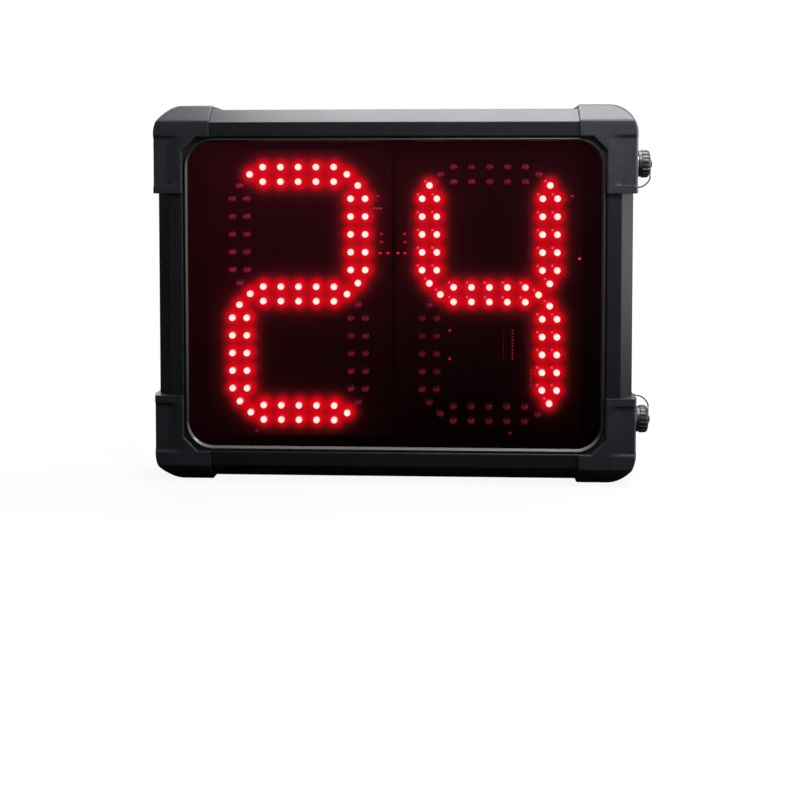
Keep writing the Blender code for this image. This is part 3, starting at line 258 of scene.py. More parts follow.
def revolve(profile: list, axis: np.ndarray, centre: tuple, steps: int = 32, finish: int = 0) -> Shell:
    """Turn a profile about an axis.

    Args:
        profile: rows of radius and height, from one end to the other.
        axis: unit vector of the axis.
        centre: the point of height zero.
        steps: facets round the axis.
        finish: index of the material.

    Returns:
        The closed shell.
    """
    radii, heights = np.array(profile, float).T
    side = Z_AXIS if abs(axis[2]) < 0.5 else X_AXIS
    ways = circle(1, steps) @ np.stack([side, np.cross(axis, side)])
    return loft(rings_about(axis, ways, radii, heights, centre), finish=finish)


def rounded(corners: np.ndarray | list, cuts: list | float, steps: int) -> np.ndarray:
    """Round a closed outline: each corner becomes a quadratic curve between its two cut points.

    Args:
        corners: the outline's corners in the plane.
        cuts: how far back along both edges each curve starts.
        steps: pieces in each curve.

    Returns:
        The points of the rounded outline.
    """
    corners = np.asarray(corners, float)
    cuts = np.broadcast_to(np.asarray(cuts, float), len(corners))[:, None]
    before = np.roll(corners, 1, axis=0) - corners
    after = np.roll(corners, -1, axis=0) - corners
    start = corners + before / np.linalg.norm(before, axis=1, keepdims=True) * cuts
    end = corners + after / np.linalg.norm(after, axis=1, keepdims=True) * cuts
    return bezier(start, corners, end, steps).reshape(-1, 2)


def prism(outline: np.ndarray, axes: tuple, centre: tuple, stations: np.ndarray, finish: int = 0) -> Shell:
    """Carry a flat outline along the third axis: centre + a*first + b*second + station*third.

    Args:
        outline: rows of a and b.
        axes: the three unit vectors.
        centre: the point where a, b and the station are zero.
        stations: places along the third axis.
        finish: index of the material.

    Returns:
        The closed shell.
    """
    first, second, third = axes
    flat = outline[:, :1] * first + outline[:, 1:] * second
    rings = flat[None] + np.asarray(stations, float)[:, None, None] * third
    return loft(rings + np.asarray(centre, float), finish=finish)


def block(low: tuple, high: tuple, chamfer: float = 0.3, finish: int = 0) -> Shell:
    """Make a block with chamfered edges: its outline shrinks by the chamfer at both ends.

    Args:
        low: lowest corner.
        high: highest corner.
        chamfer: width of the chamfer.
        finish: index of the material.

    Returns:
        The closed shell.
    """
    low, high = np.asarray(low, float), np.asarray(high, float)
    centre, half = (low + high) / 2, (high - low) / 2
    chamfer = min(chamfer, 0.4 * half.min())
    rings = []
    for inset, y in ((chamfer, 0), (0, chamfer), (0, 2 * half[1] - chamfer), (chamfer, 2 * half[1])):
        outline = rounded(SQUARE * (half[0] - inset, half[2] - inset), chamfer, 1)
        rings.append(at_depth(outline, y - half[1]))
    return loft(np.array(rings) + centre, finish=finish)


def many_blocks(centres: np.ndarray, size: tuple, finish: int = 0) -> Shell:
    """Repeat one small block at many centres: every centre plus the same eight corners.

    Args:
        centres: rows of block centres.
        size: full size of each block.
        finish: index of the material.

    Returns:
        One shell that holds all the blocks.
    """
    centres = np.asarray(centres, float)
    signs = np.array([[-1, -1, -1], [1, -1, -1], [1, 1, -1], [-1, 1, -1]], float)
    corners = np.concatenate([signs, signs * (1, 1, -1)]) * np.asarray(size, float) / 2
    quads = np.array([[3, 2, 1, 0], [4, 5, 6, 7], [0, 1, 5, 4], [1, 2, 6, 5], [2, 3, 7, 6], [3, 0, 4, 7]])
    points = centres[:, None] + corners[None]
    faces = quads[None] + 8 * np.arange(len(centres))[:, None, None]
    return Shell(points.reshape(-1, 3), faces.reshape(-1, 4).tolist(), finish)


def plate(grid: np.ndarray, back: float, values: np.ndarray) -> Shell:
    """Close a grid of front points with straight sides and one flat back face.

    Args:
        grid: rows, columns and coordinates of the front.
        back: the y of the back face.
        values: a value per front point; the back takes that of its edge.

    Returns:
        The closed shell.
    """
    rows, columns = grid.shape[:2]
    index = np.arange(rows * columns).reshape(rows, columns)
    rim = np.concatenate([index[0, :-1], index[:-1, -1], index[-1, :0:-1], index[:0:-1, 0]])
    front = grid.reshape(-1, 3)
    rear = front[rim].copy()
    rear[:, 1] = back
    quads = grid_quads(index)
    behind = rows * columns + np.arange(len(rim))
    sides = join(rim, behind, np.roll(behind, -1), np.roll(rim, -1))
    faces = quads.tolist() + sides.tolist() + [behind[::-1].tolist()]
    values = np.concatenate([values.reshape(-1), values.reshape(-1)[rim]])
    return Shell(np.concatenate([front, rear]), faces, values=values).outward()


def smooth_path(points: np.ndarray, count: int) -> np.ndarray:
    """Run one smooth curve through points: cubic pieces whose slopes come from the neighbours.

    Args:
        points: the points to pass through.
        count: points wanted on the curve.

    Returns:
        Points evenly spread by the chord length.
    """
    points = np.asarray(points, float)
    chord = np.concatenate([[0], np.cumsum(np.linalg.norm(np.diff(points, axis=0), axis=1))])
    slope = np.gradient(points, chord, axis=0)
    place = np.linspace(0, chord[-1], count)
    piece = np.clip(np.searchsorted(chord, place, side="right") - 1, 0, len(points) - 2)
    span = (chord[piece + 1] - chord[piece])[:, None]
    t = (place[:, None] - chord[piece][:, None]) / span
    start, end = points[piece], points[piece + 1]
    leave, arrive = slope[piece] * span, slope[piece + 1] * span
    return (
        (2 * t**3 - 3 * t**2 + 1) * start
        + (t**3 - 2 * t**2 + t) * leave
        + (3 * t**2 - 2 * t**3) * end
        + (t**3 - t**2) * arrive
    )


def along_path(path: np.ndarray, section: np.ndarray, sideways: np.ndarray, finish: int = 0) -> Shell:
    """Carry a section along a path, square to it: path + a*side + b*normal.

    Args:
        path: points of the path.
        section: rows of a and b.
        sideways: a direction that the path never runs along.
        finish: index of the material.

    Returns:
        The closed shell.
    """
    tangent = np.gradient(path, axis=0)
    tangent /= np.linalg.norm(tangent, axis=1, keepdims=True)
    side = sideways - (tangent @ sideways)[:, None] * tangent
    side /= np.linalg.norm(side, axis=1, keepdims=True)
    normal = np.cross(tangent, side)
    rings = path[:, None] + section[None, :, :1] * side[:, None] + section[None, :, 1:] * normal[:, None]
    return loft(rings, finish=finish)


def resistors(spots: np.ndarray, body: tuple, end: tuple, finishes: tuple) -> list:
    """Make small two-ended parts: a body with a metal end on either side.

    Args:
        spots: the centres.
        body: size of each body.
        end: how far each metal end lies from the centre, and its width across.
        finishes: index of the body's material and of the ends'.

    Returns:
        The shells.
    """
    offset, width = end
    metal = (width, body[1] + 0.04, body[2] + 0.04)
    ends = [many_blocks(spots + (side * offset, 0, 0), metal, finishes[1]) for side in (1, -1)]
    return [many_blocks(spots, body, finishes[0]), *ends]


# Materials


class Graph:
    """A short way to add and join the shader nodes of a material or of the world."""

    def __init__(self, owner: bpy.types.ID, kind: str = "Material") -> None:
        """Clear the owner's nodes and start with its output node.

        Args:
            owner: the material or the world.
            kind: the output node's kind.
        """
        owner.use_nodes = True
        self.owner = owner
        self.tree = owner.node_tree
        self.tree.nodes.clear()
        self.output = self.node("Output" + kind)

    def node(self, kind: str, inputs: dict | None = None, **settings: object) -> bpy.types.Node:
        """Add a node.

        Args:
            kind: the node's type after "ShaderNode".
            inputs: socket names or numbers with a value or another node's socket.
            settings: the node's own properties.

        Returns:
            The node.
        """
        made = self.tree.nodes.new("ShaderNode" + kind)
        for key, value in settings.items():
            setattr(made, key, value)
        for key, value in (inputs or {}).items():
            if isinstance(value, bpy.types.NodeSocket):
                self.tree.links.new(value, made.inputs[key])
            else:
                made.inputs[key].default_value = value
        return made

    def place(self, stretch: tuple = (1, 1, 1)) -> bpy.types.NodeSocket:
        """Give Object coordinates, scaled by the stretch."""
        coordinates = self.node("TexCoord").outputs["Object"]
        return self.node("Mapping", {"Vector": coordinates, "Scale": stretch}).outputs[0]

    def noise(self, vector: bpy.types.NodeSocket, scale: float, detail: float = 4) -> bpy.types.NodeSocket:
        """Give a noise value at a scale per metre."""
        inputs = {"Vector": vector, "Scale": scale, "Detail": detail, "Roughness": 0.6}
        return self.node("TexNoise", inputs).outputs[0]

    def ramp(self, value: bpy.types.NodeSocket, *stops: tuple) -> bpy.types.NodeSocket:
        """Map a value to colours.

        Args:
            value: the value from 0 to 1.
            stops: pairs of position and colour.

        Returns:
            The colour.
        """
        made = self.node("ValToRGB", {0: value})
        elements = made.color_ramp.elements
        while len(elements) < len(stops):
            elements.new(0.5)
        for element, (position, colour) in zip(elements, stops):
            element.position = position
            element.color = (*colour, 1)
        return made.outputs[0]

    def math(self, operation: str, first: object, second: object) -> bpy.types.NodeSocket:
        """Work out a number from two."""
        return self.node("Math", {0: first, 1: second}, operation=operation).outputs[0]

    def vector(self, operation: str, first: object, second: object, output: int = 0) -> bpy.types.NodeSocket:
        """Work out a vector, or with output 1 a number, from two vectors."""
        return self.node("VectorMath", {0: first, 1: second}, operation=operation).outputs[output]

    def soft_range(self, value: bpy.types.NodeSocket, *limits: float) -> bpy.types.NodeSocket:
        """Map a value smoothly from the first two limits to the last two."""
        inputs = {0: value, **dict(enumerate(limits, 1))}
        return self.node("MapRange", inputs, interpolation_type="SMOOTHSTEP").outputs[0]

    def span(self, value: bpy.types.NodeSocket, low: float, high: float) -> bpy.types.NodeSocket:
        """Map a noise's middle range, 0.3 to 0.7, to low and high."""
        return self.node("MapRange", {0: value, 1: 0.3, 2: 0.7, 3: low, 4: high}).outputs[0]

    def bump(self, height: bpy.types.NodeSocket, strength: float, distance: float) -> bpy.types.NodeSocket:
        """Turn a height into a normal."""
        inputs = {"Height": height, "Strength": strength, "Distance": distance}
        return self.node("Bump", inputs).outputs[0]

    def finish(self, shader: bpy.types.NodeSocket) -> bpy.types.ID:
        """Join the last shader to the output and give the material or the world."""
        self.tree.links.new(shader, self.output.inputs["Surface"])
        return self.owner

    def principled(self, inputs: dict) -> bpy.types.ID:
        """End with a principled shader that has these inputs, and give the material."""
        return self.finish(self.node("BsdfPrincipled", inputs).outputs[0])


@dataclass(frozen=True)
class Finish:
    """An opaque finish: two close colours, a grain at a scale per metre and a range of roughness."""

    name: str
    colour: tuple
    worn: tuple
    scale: float
    roughness: tuple
    grain: Grain = Grain.MOULDED
    stretch: tuple = (1, 1, 1)
    metallic: float = 0
    specular: float = 0.5
    bump: float = 0.15
    depth: float = 0.00015
    coat: float = 0
    painted_foot_highlight: float = 0
    foot: tuple = (-0.106, -0.117)
    broad: float = 22
    rub: float = 140

    def material(self) -> bpy.types.Material:
        """Build the finish.

        A fine pattern gives the bump and part of the roughness, and a broad one the drift
        of colour and shine that handling leaves. A painted highlight pales what lies along the window's foot.

        Returns:
            The material.
        """
        graph = Graph(bpy.data.materials.new(self.name))
        plain = graph.place()
        fine = self.pattern(graph)
        broad = graph.noise(plain, self.broad, 5)
        drift = graph.math("MULTIPLY", broad, graph.noise(plain, self.rub, 6))
        colour = graph.ramp(drift, (0.12, self.colour), (0.42, self.worn))
        # Painted highlight: the colour pales toward the window's foot, where light from above catches it.
        if self.painted_foot_highlight:
            height = graph.node("SeparateXYZ", {0: plain}).outputs[2]
            foot = graph.node("MapRange", {0: height, 1: self.foot[0], 2: self.foot[1]}).outputs[0]
            colour = graph.vector("ADD", colour, graph.ramp(foot, (0.0, (0, 0, 0)), (1.0, (self.painted_foot_highlight,) * 3)))
        halved = graph.math("MULTIPLY", graph.math("ADD", broad, fine), 0.5)
        inputs = {
            "Base Color": colour,
            "Roughness": graph.span(halved, *self.roughness),
            "Metallic": self.metallic,
            "Specular IOR Level": self.specular,
            "Coat Weight": self.coat,
            "Coat Roughness": 0.15,
            "Normal": graph.bump(fine, self.bump, self.depth),
        }
        return graph.principled(inputs)

    def pattern(self, graph: Graph) -> bpy.types.NodeSocket:
        """Give the fine pattern of this grain.

        Args:
            graph: the material under way.

        Returns:
            The pattern's height.
        """
        place = graph.place(self.stretch)
        inputs = {"Vector": place, "Scale": self.scale}
        if self.grain is Grain.BRUSHED:
            return graph.noise(place, self.scale, 3)
        if self.grain is Grain.PEEL:
            inputs["Smoothness"] = 1.0
            return graph.node("TexVoronoi", inputs, feature="SMOOTH_F1").outputs["Distance"]
        if self.grain is Grain.BLASTED:
            cells = graph.node("TexVoronoi", inputs).outputs["Distance"]
            return graph.math("MULTIPLY", cells, graph.noise(place, self.scale * 0.5, 2))
        return graph.noise(place, self.scale, 6)


@dataclass(frozen=True)
class Glazing:
    """The smoked window: a near-black red sheet that lets half of the lamps' light through."""

    name: str = "smoked_acrylic"
    colour: tuple = (0.003, 0.0002, 0.0004, 1)
    cover: float = 0.55
    painted_red_glow: tuple = (0.0165, 0.0015, 0.0038)
    painted_glow_slope: tuple = (-1.8, 0, 3.4)
    painted_glow_start: float = 0.38

    def material(self) -> bpy.types.Material:
        """Build the tinted sheet.

        A faint haze of wipe marks is in its shine, and a painted red glow, standing in for the
        lamps' light that the sheet scatters, grows toward the top and the left.

        Returns:
            The material.
        """
        graph = Graph(bpy.data.materials.new(self.name))
        haze = graph.noise(graph.place((1, 1, 0.35)), 60, 8)
        # Painted glow: emission that rises toward the top and the left, for the lamps' scattered light.
        rise = graph.vector("DOT_PRODUCT", graph.place(), self.painted_glow_slope, 1)
        level = graph.math("ADD", rise, self.painted_glow_start)
        inputs = {
            "Base Color": self.colour,
            "Roughness": graph.span(haze, 0.04, 0.12),
            "Specular IOR Level": 0.02,
            "Emission Color": graph.ramp(level, (0.0, (0, 0, 0)), (1.0, self.painted_red_glow)),
            "Emission Strength": 1.0,
            "Alpha": self.cover,
        }
        return graph.principled(inputs)


@dataclass(frozen=True)
class LampFinish:
    """LED lenses: the glow value runs from a dark red lens to a white-hot lamp, and paints glints."""

    name: str = "led_lens"
    strength: float = 5.4

    def material(self) -> bpy.types.Material:
        """Build the lens: glossy red resin whose emission follows the glow value.

        Returns:
            The material.
        """
        graph = Graph(bpy.data.materials.new(self.name))
        glow = graph.node("Attribute", attribute_name=GLOW).outputs["Fac"]
        # Low stops paint the glow of LEDs that are off; the pink near 0.72 paints glints beside lit LEDs.
        stops = (
            (0.0, (0.004, 0.0, 0.0)), (0.2, (0.27, 0.010, 0.040)), (0.45, (0.55, 0.0, 0.004)),
            (0.72, (0.85, 0.05, 0.12)), (0.88, (1.0, 0.62, 0.52)), (1.0, (1.0, 0.84, 0.74)),
        )
        bubbles = graph.noise(graph.place(), 700, 3)
        inputs = {
            "Base Color": graph.ramp(bubbles, (0.3, (0.05, 0.001, 0.004)), (0.7, (0.08, 0.002, 0.006))),
            "Roughness": graph.span(bubbles, 0.15, 0.3),
            "Emission Color": graph.ramp(glow, *stops),
            "Emission Strength": self.strength,
        }
        return graph.principled(inputs)


@dataclass(frozen=True)
class PaintedGlowBoard:
    """Black solder mask with tracks under it, and a painted red glow where the glow value is high."""

    name: str
    colour: tuple = (0.003, 0.0025, 0.003)
    track: tuple = (0.007, 0.006, 0.0065)
    strength: float = 5.0

    def material(self) -> bpy.types.Material:
        """Build the board: tracks as bands that bend, and a painted red glow for the lamps' light.

        Returns:
            The material.
        """
        graph = Graph(bpy.data.materials.new(self.name))
        place = graph.place()
        waves = {"Vector": place, "Scale": 110, "Distortion": 5, "Detail": 1, "Detail Scale": 0.6}
        edge = graph.math("GREATER_THAN", graph.node("TexWave", waves).outputs[1], 0.72)
        glow = graph.node("Attribute", attribute_name=GLOW).outputs["Fac"]
        speckle = graph.noise(place, 900, 4)
        # Painted light: red emission that follows the glow value.
        red = graph.ramp(glow, (0.0, (0, 0, 0)), (0.05, (0.05, 0.0025, 0.003)), (1.0, (1.0, 0.0, 0.008)))
        inputs = {
            "Base Color": graph.ramp(edge, (0.0, self.colour), (1.0, self.track)),
            "Roughness": graph.span(speckle, 0.3, 0.45),
            "Specular IOR Level": 0.2,
            "Emission Color": graph.vector("MULTIPLY", red, graph.span(speckle, 0.88, 1.0)),
            "Emission Strength": self.strength,
            "Normal": graph.bump(edge, 0.3, 0.00004),
        }
        return graph.principled(inputs)


@dataclass(frozen=True)
class StudioWhite:
    """The pale floor: lit by the lamps, and lifted to white for the camera and for reflections."""

    name: str = "studio_floor"
    grey: float = 0.04
    drift: float = 0.01
    lift: tuple = (0.92, 1.0)
    mirrored: tuple = (0.02, 1.0)
    reach: tuple = (0.25, 1.3)
    dark_left_falloff: tuple = (-0.7, 0.7, 0.05, 1.0)

    def material(self) -> bpy.types.Material:
        """Build the floor: matt, plus light for camera, clear and glossy rays that grows outward.

        The lower light near the object is painted shade, for glossy rays a painted shadow. For
        glossy rays it also falls off to the left, as painted shade in its reflections.

        Returns:
            The material.
        """
        graph = Graph(bpy.data.materials.new(self.name))
        place = graph.place()
        speck = graph.noise(place, 3, 2)
        colour = graph.ramp(speck, (0.0, (self.grey - self.drift,) * 3), (1.0, (self.grey + self.drift,) * 3))
        matt = graph.node("BsdfDiffuse", {"Color": colour}).outputs[0]
        path = graph.node("LightPath").outputs
        seen = graph.math("MAXIMUM", path["Is Camera Ray"], path["Is Transmission Ray"])
        away = graph.vector("LENGTH", place, (0, 0, 0), 1)
        # Painted shade: the floor's light is lower near the object, for glossy rays nearly nothing.
        shown, glossy = (
            graph.math("MULTIPLY", rays, graph.soft_range(away, *self.reach, *levels))
            for rays, levels in ((seen, self.lift), (path["Is Glossy Ray"], self.mirrored))
        )
        # Painted shade in the floor's reflections: for glossy rays the light falls off to the left.
        across = graph.node("SeparateXYZ", {0: place}).outputs[0]
        glossy = graph.math("MULTIPLY", glossy, graph.soft_range(across, *self.dark_left_falloff))
        lift = graph.math("MAXIMUM", shown, glossy)
        light = graph.node("Emission", {"Color": (1, 1, 1, 1), "Strength": lift}).outputs[0]
        return graph.finish(graph.node("AddShader", {0: matt, 1: light}).outputs[0])


INK = (0.0056, 0.0064, 0.0082)
INK_WORN = (0.0090, 0.0098, 0.0124)
ANODISED_ACROSS = Finish("anodised_rail_across", INK, INK_WORN, 2600, (0.27, 0.35), Grain.BRUSHED,
    (0.02, 1, 1), specular=0.11, bump=0.06, depth=0.00003)
ANODISED_UP = Finish("anodised_rail_up", INK, INK_WORN, 2600, (0.27, 0.35), Grain.BRUSHED, (1, 1, 0.02),
    specular=0.11, bump=0.06, depth=0.00003)
CORNER_PLASTIC = Finish("corner_plastic", (0.015, 0.0155, 0.019), (0.023, 0.024, 0.029), 2200, (0.34, 0.44),
    Grain.BLASTED, specular=0.11, bump=0.12, depth=0.00005)
# The bead's foot gets a painted highlight: its colour pales along the window's bottom edge.
BEAD_RUBBER = Finish("bead_rubber", (0.008, 0.008, 0.009), (0.012, 0.012, 0.013), 900, (0.25, 0.35),
    specular=0.42, bump=0.05, painted_foot_highlight=0.085)
GASKET_RUBBER = Finish("gasket_rubber", (0.006, 0.006, 0.006), (0.010, 0.010, 0.010), 900, (0.5, 0.65),
    specular=0.2, bump=0.08)
COVER_BLACK = Finish("cover_powder_coat", (0.012, 0.012, 0.013), (0.018, 0.018, 0.020), 700, (0.38, 0.5),
    Grain.PEEL, specular=0.3, bump=0.30, depth=0.0002)
BAR_ZINC = Finish("bar_black_zinc", (0.010, 0.010, 0.011), (0.018, 0.018, 0.019), 900, (0.3, 0.42),
    Grain.BRUSHED, (0.03, 1, 1), specular=0.3, bump=0.08, depth=0.00005)
CAP_METAL = Finish("cap_gunmetal", (0.022, 0.023, 0.026), (0.040, 0.041, 0.046), 1800, (0.32, 0.45),
    Grain.BRUSHED, (0.05, 1, 1), metallic=0.75, bump=0.06, depth=0.00003)
NICKEL = Finish("nickel_plate", (0.50, 0.49, 0.46), (0.62, 0.61, 0.58), 1500, (0.18, 0.32), Grain.BRUSHED,
    (0.08, 1, 1), metallic=1.0, bump=0.05, depth=0.00003)
BLACK_NICKEL = Finish("black_nickel", (0.030, 0.030, 0.032), (0.055, 0.055, 0.058), 1500, (0.28, 0.40),
    Grain.BRUSHED, (0.08, 1, 1), metallic=0.9, bump=0.05, depth=0.00003)
TETHER_STEEL = Finish("tether_sleeve", (0.010, 0.010, 0.011), (0.020, 0.020, 0.022), 1200, (0.25, 0.4),
    specular=0.3, bump=0.1)
SCREW_BLACK = Finish("screw_black", (0.030, 0.030, 0.032), (0.07, 0.07, 0.07), 1600, (0.3, 0.45),
    Grain.BLASTED, metallic=0.6, bump=0.1, depth=0.00004)
SEAL_RUBBER = Finish("seal_rubber", (0.012, 0.012, 0.012), (0.022, 0.022, 0.022), 1100, (0.6, 0.75),
    specular=0.3)
CHIP_BLACK = Finish("chip_resin", (0.012, 0.012, 0.013), (0.022, 0.022, 0.023), 2400, (0.5, 0.65), bump=0.2,
    depth=0.00005)
HEADER_CREAM = Finish("header_nylon", (0.55, 0.50, 0.38), (0.66, 0.61, 0.48), 700, (0.45, 0.6), bump=0.1)
TIN = Finish("tinned_leads", (0.55, 0.55, 0.53), (0.68, 0.67, 0.64), 1200, (0.25, 0.4), metallic=1.0)
RESISTOR_BLACK = Finish("resistor_glaze", (0.010, 0.010, 0.012), (0.018, 0.018, 0.020), 2000, (0.3, 0.45),
    bump=0.05)
CERAMIC = Finish("ceramic_body", (0.30, 0.19, 0.10), (0.42, 0.28, 0.16), 2000, (0.4, 0.55), bump=0.05)
BOARD_GREEN = Finish("board_mask", (0.004, 0.022, 0.010), (0.008, 0.036, 0.016), 1300, (0.28, 0.4),
    bump=0.08, depth=0.00005, coat=0.3)
SHIELD_CAN = Finish("shield_can", (0.60, 0.60, 0.58), (0.72, 0.72, 0.70), 1200, (0.22, 0.36), Grain.BRUSHED,
    (0.04, 1, 1), metallic=1.0, bump=0.04, depth=0.00003)
TERMINAL_GREEN = Finish("terminal_nylon", (0.02, 0.16, 0.06), (0.03, 0.22, 0.09), 900, (0.4, 0.55),
    bump=0.08)
CONVERTER_CASE = Finish("converter_case", (0.030, 0.030, 0.032), (0.050, 0.050, 0.053), 1300, (0.45, 0.6),
    Grain.BLASTED, specular=0.4, bump=0.18, depth=0.0001)
POTTING = Finish("potting_resin", (0.010, 0.010, 0.011), (0.018, 0.018, 0.020), 160, (0.12, 0.25),
    Grain.PEEL, depth=0.0003)
BUZZER_BLACK = Finish("buzzer_plastic", (0.016, 0.016, 0.017), (0.026, 0.026, 0.028), 1700, (0.4, 0.55),
    bump=0.12)
MEMBRANE = Finish("buzzer_membrane", (0.42, 0.32, 0.12), (0.56, 0.44, 0.18), 900, (0.25, 0.4),
    Grain.BRUSHED, metallic=0.9, bump=0.05)
LEAD_JACKET = Finish("lead_jacket", (0.014, 0.014, 0.015), (0.024, 0.024, 0.026), 1000, (0.42, 0.58),
    bump=0.12)
RIBBON_GREY = Finish("ribbon_jacket", (0.22, 0.22, 0.23), (0.30, 0.30, 0.31), 900, (0.4, 0.5), bump=0.06)
RIBBON_RED = Finish("ribbon_first_wire", (0.42, 0.02, 0.02), (0.52, 0.03, 0.03), 900, (0.4, 0.5), bump=0.06)
_MADE: dict = {}


def material_of(finish: object) -> bpy.types.Material:
    """Build each finish once and hand the same material to every piece that has it.

    Args:
        finish: the finish.

    Returns:
        Its material.
    """
    if finish.name not in _MADE:
        _MADE[finish.name] = finish.material()
    return _MADE[finish.name]


# Building and dressing


@dataclass
class SubAssembly:
    """A group of pieces that are made, dressed and attached in one place."""

    body: str = BOX

    def piece(self, name: str, shells: list, finishes: list, slot: str, replaces: tuple = (),
              body: str | None = None, sharp: float = 32) -> bpy.types.Object:
        """Turn shells into one object that rides on a body.

        Args:
            name: the piece's name.
            shells: the closed shells it is made of.
            finishes: its finishes, in the order of the shells' indices.
            slot: not used.
            replaces: the CAD nodes that it stands for.
            body: the body it rides on, if not this sub-assembly's own.
            sharp: edges steeper than this many degrees stay sharp.

        Returns:
            The object.
        """
        made = new_object(name, shells, sharp)
        for finish in finishes:
            made.data.materials.append(material_of(finish))
        made.data.polygons.foreach_set(
            "material_index", np.concatenate([np.full(len(shell.faces), shell.finish) for shell in shells])
        )
        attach(made, body or self.body)
        if replaces:
            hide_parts(*replaces)
        LOG.info("%s: %d faces, on %s", name, len(made.data.polygons), body or self.body)
        return made

    def dress(self, node: str, finish: object) -> None:
        """Give a CAD node that stays its finish.

        Args:
            node: the node's name.
            finish: its finish.
        """
        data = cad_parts[node].data
        data.materials.clear()
        data.materials.append(material_of(finish))
        LOG.info("%s: carried over", node)


def new_object(name: str, shells: list, sharp: float) -> bpy.types.Object:
    """Put shells into one mesh object at the origin, smooth but for its sharp edges.

    Args:
        name: the object's name.
        shells: the closed shells.
        sharp: the angle in degrees above which an edge is sharp.

    Returns:
        The object.
    """
    starts = np.cumsum([0] + [len(shell.points) for shell in shells])
    points = np.concatenate([shell.points for shell in shells]) * MM
    faces = [
        [index + start for index in face] for shell, start in zip(shells, starts) for face in shell.faces
    ]
    mesh = bpy.data.meshes.new(name)
    mesh.from_pydata(points.tolist(), [], faces)
    if any(shell.values is not None for shell in shells):
        values = [np.zeros(len(shell.points)) if shell.values is None else shell.values for shell in shells]
        mesh.attributes.new(GLOW, "FLOAT", "POINT").data.foreach_set("value", np.concatenate(values))
    mesh.shade_smooth()
    mesh.set_sharp_from_angle(angle=math.radians(sharp))
    made = bpy.data.objects.new(name, mesh)
    bpy.context.scene.collection.objects.link(made)
    flatten = made.modifiers.new("flat_faces_stay_flat", "WEIGHTED_NORMAL")
    flatten.keep_sharp = True
    return made


def drill(target: bpy.types.Object, cutters: list) -> None:
    """Cut shells out of an object and keep the result as its mesh.

    Args:
        target: the object to cut.
        cutters: closed shells.
    """
    tool = new_object(f"{target.name}_tool", cutters, 30)
    tool.modifiers.clear()
    for material in target.data.materials:
        tool.data.materials.append(material)
    holes = target.modifiers.new("holes", "BOOLEAN")
    holes.operation = "DIFFERENCE"
    holes.solver = "MANIFOLD"
    holes.object = tool
    target.modifiers.move(len(target.modifiers) - 1, 0)
    kept = target.modifiers["flat_faces_stay_flat"]
    kept.show_viewport = False
    bpy.context.view_layer.update()
    depsgraph = bpy.context.evaluated_depsgraph_get()
    cut = bpy.data.meshes.new_from_object(target.evaluated_get(depsgraph))
    target.modifiers.remove(holes)
    kept.show_viewport = True
    target.data = cut
    cut.name = target.name
    bpy.data.objects.remove(tool)


@dataclass
class FrameRails(SubAssembly):
    """The four aluminium rails: one extruded section with a flat front, a slant and flanges."""

    band: float = 22.0
    flat: float = 11.4
    slant_depth: float = 14.0
    wall: float = 1.6
    depth: float = 64.6
    ledge: float = 6.7
    ledge_inset: float = 3.0
    flange: float = 62.8
    flange_inset: float = 4.0
    gap: float = 0.3
    stations: int = 24

    def section(self) -> np.ndarray:
        """Give the rounded section as (distance out from the opening, depth from the front).

        Returns:
            The outline's points.
        """
        slant = self.band - self.flat
        slope = slant / self.slant_depth
        start = self.flat - self.wall * math.hypot(slant, self.slant_depth) / self.slant_depth
        side, shelf, lip = self.band - self.wall, self.ledge + self.wall, self.flange - self.wall
        corners = [
            (0, 0), (self.flat, 0), (self.band, self.slant_depth), (self.band, self.depth),
            (side, self.depth), (side, self.flange), (self.flange_inset, self.flange),
            (self.flange_inset, lip), (side, lip), (side, (side - start) / slope),
            (start + slope * shelf, shelf), (self.ledge_inset, shelf), (self.ledge_inset, self.ledge),
            (start + slope * self.ledge, self.ledge), (start + slope * self.wall, self.wall), (0, self.wall),
        ]
        cuts = [1.7, 0.5, 0.9, 0.5, 0.4, 0.4, 0.3, 0.3, 0.4, 0.4, 0.4, 0.3, 0.3, 0.3, 0.3, 0.3]
        return rounded(corners, cuts, 4)

    def build(self) -> None:
        """Make the four rails, with the holes of screws and sockets."""
        wide, high = HALF_OPENING
        places = {
            "top": (Z_AXIS, X_AXIS, high, wide), "bottom": (-Z_AXIS, X_AXIS, high, wide),
            "left": (-X_AXIS, Z_AXIS, wide, high), "right": (X_AXIS, Z_AXIS, wide, high),
        }
        level = (self.flange_inset + self.band - self.wall) / 2
        for side, (outward, along, across, half) in places.items():
            stations = np.linspace(self.gap - half, half - self.gap, self.stations)
            centre = outward * across + Y_AXIS * RAIL_FRONT
            shell = prism(self.section(), (outward, Y_AXIS, along), centre, stations)
            level_rail = along is X_AXIS
            finish = ANODISED_ACROSS if level_rail else ANODISED_UP
            rail = self.piece(f"{side}_rail_dressed", [shell], [finish], "frame_rail", (f"{side}_rail",))
            screws = [0, -CORNER_SCREW[0], CORNER_SCREW[0]] if level_rail else [0]
            hole = [(SCREW_HOLE, -8), (SCREW_HOLE, 8)]
            cutters = [
                revolve(hole, Y_AXIS, outward * (across + level) + along * place, 16) for place in screws
            ]
            if side == "right":
                y, z = SOCKET_PLACE
                shank = [(SOCKET_HOLE, -4), (SOCKET_HOLE, 4)]
                cutters += [revolve(shank, X_AXIS, (across + self.band, y, s * z), 32) for s in (1, -1)]
            drill(rail, cutters)


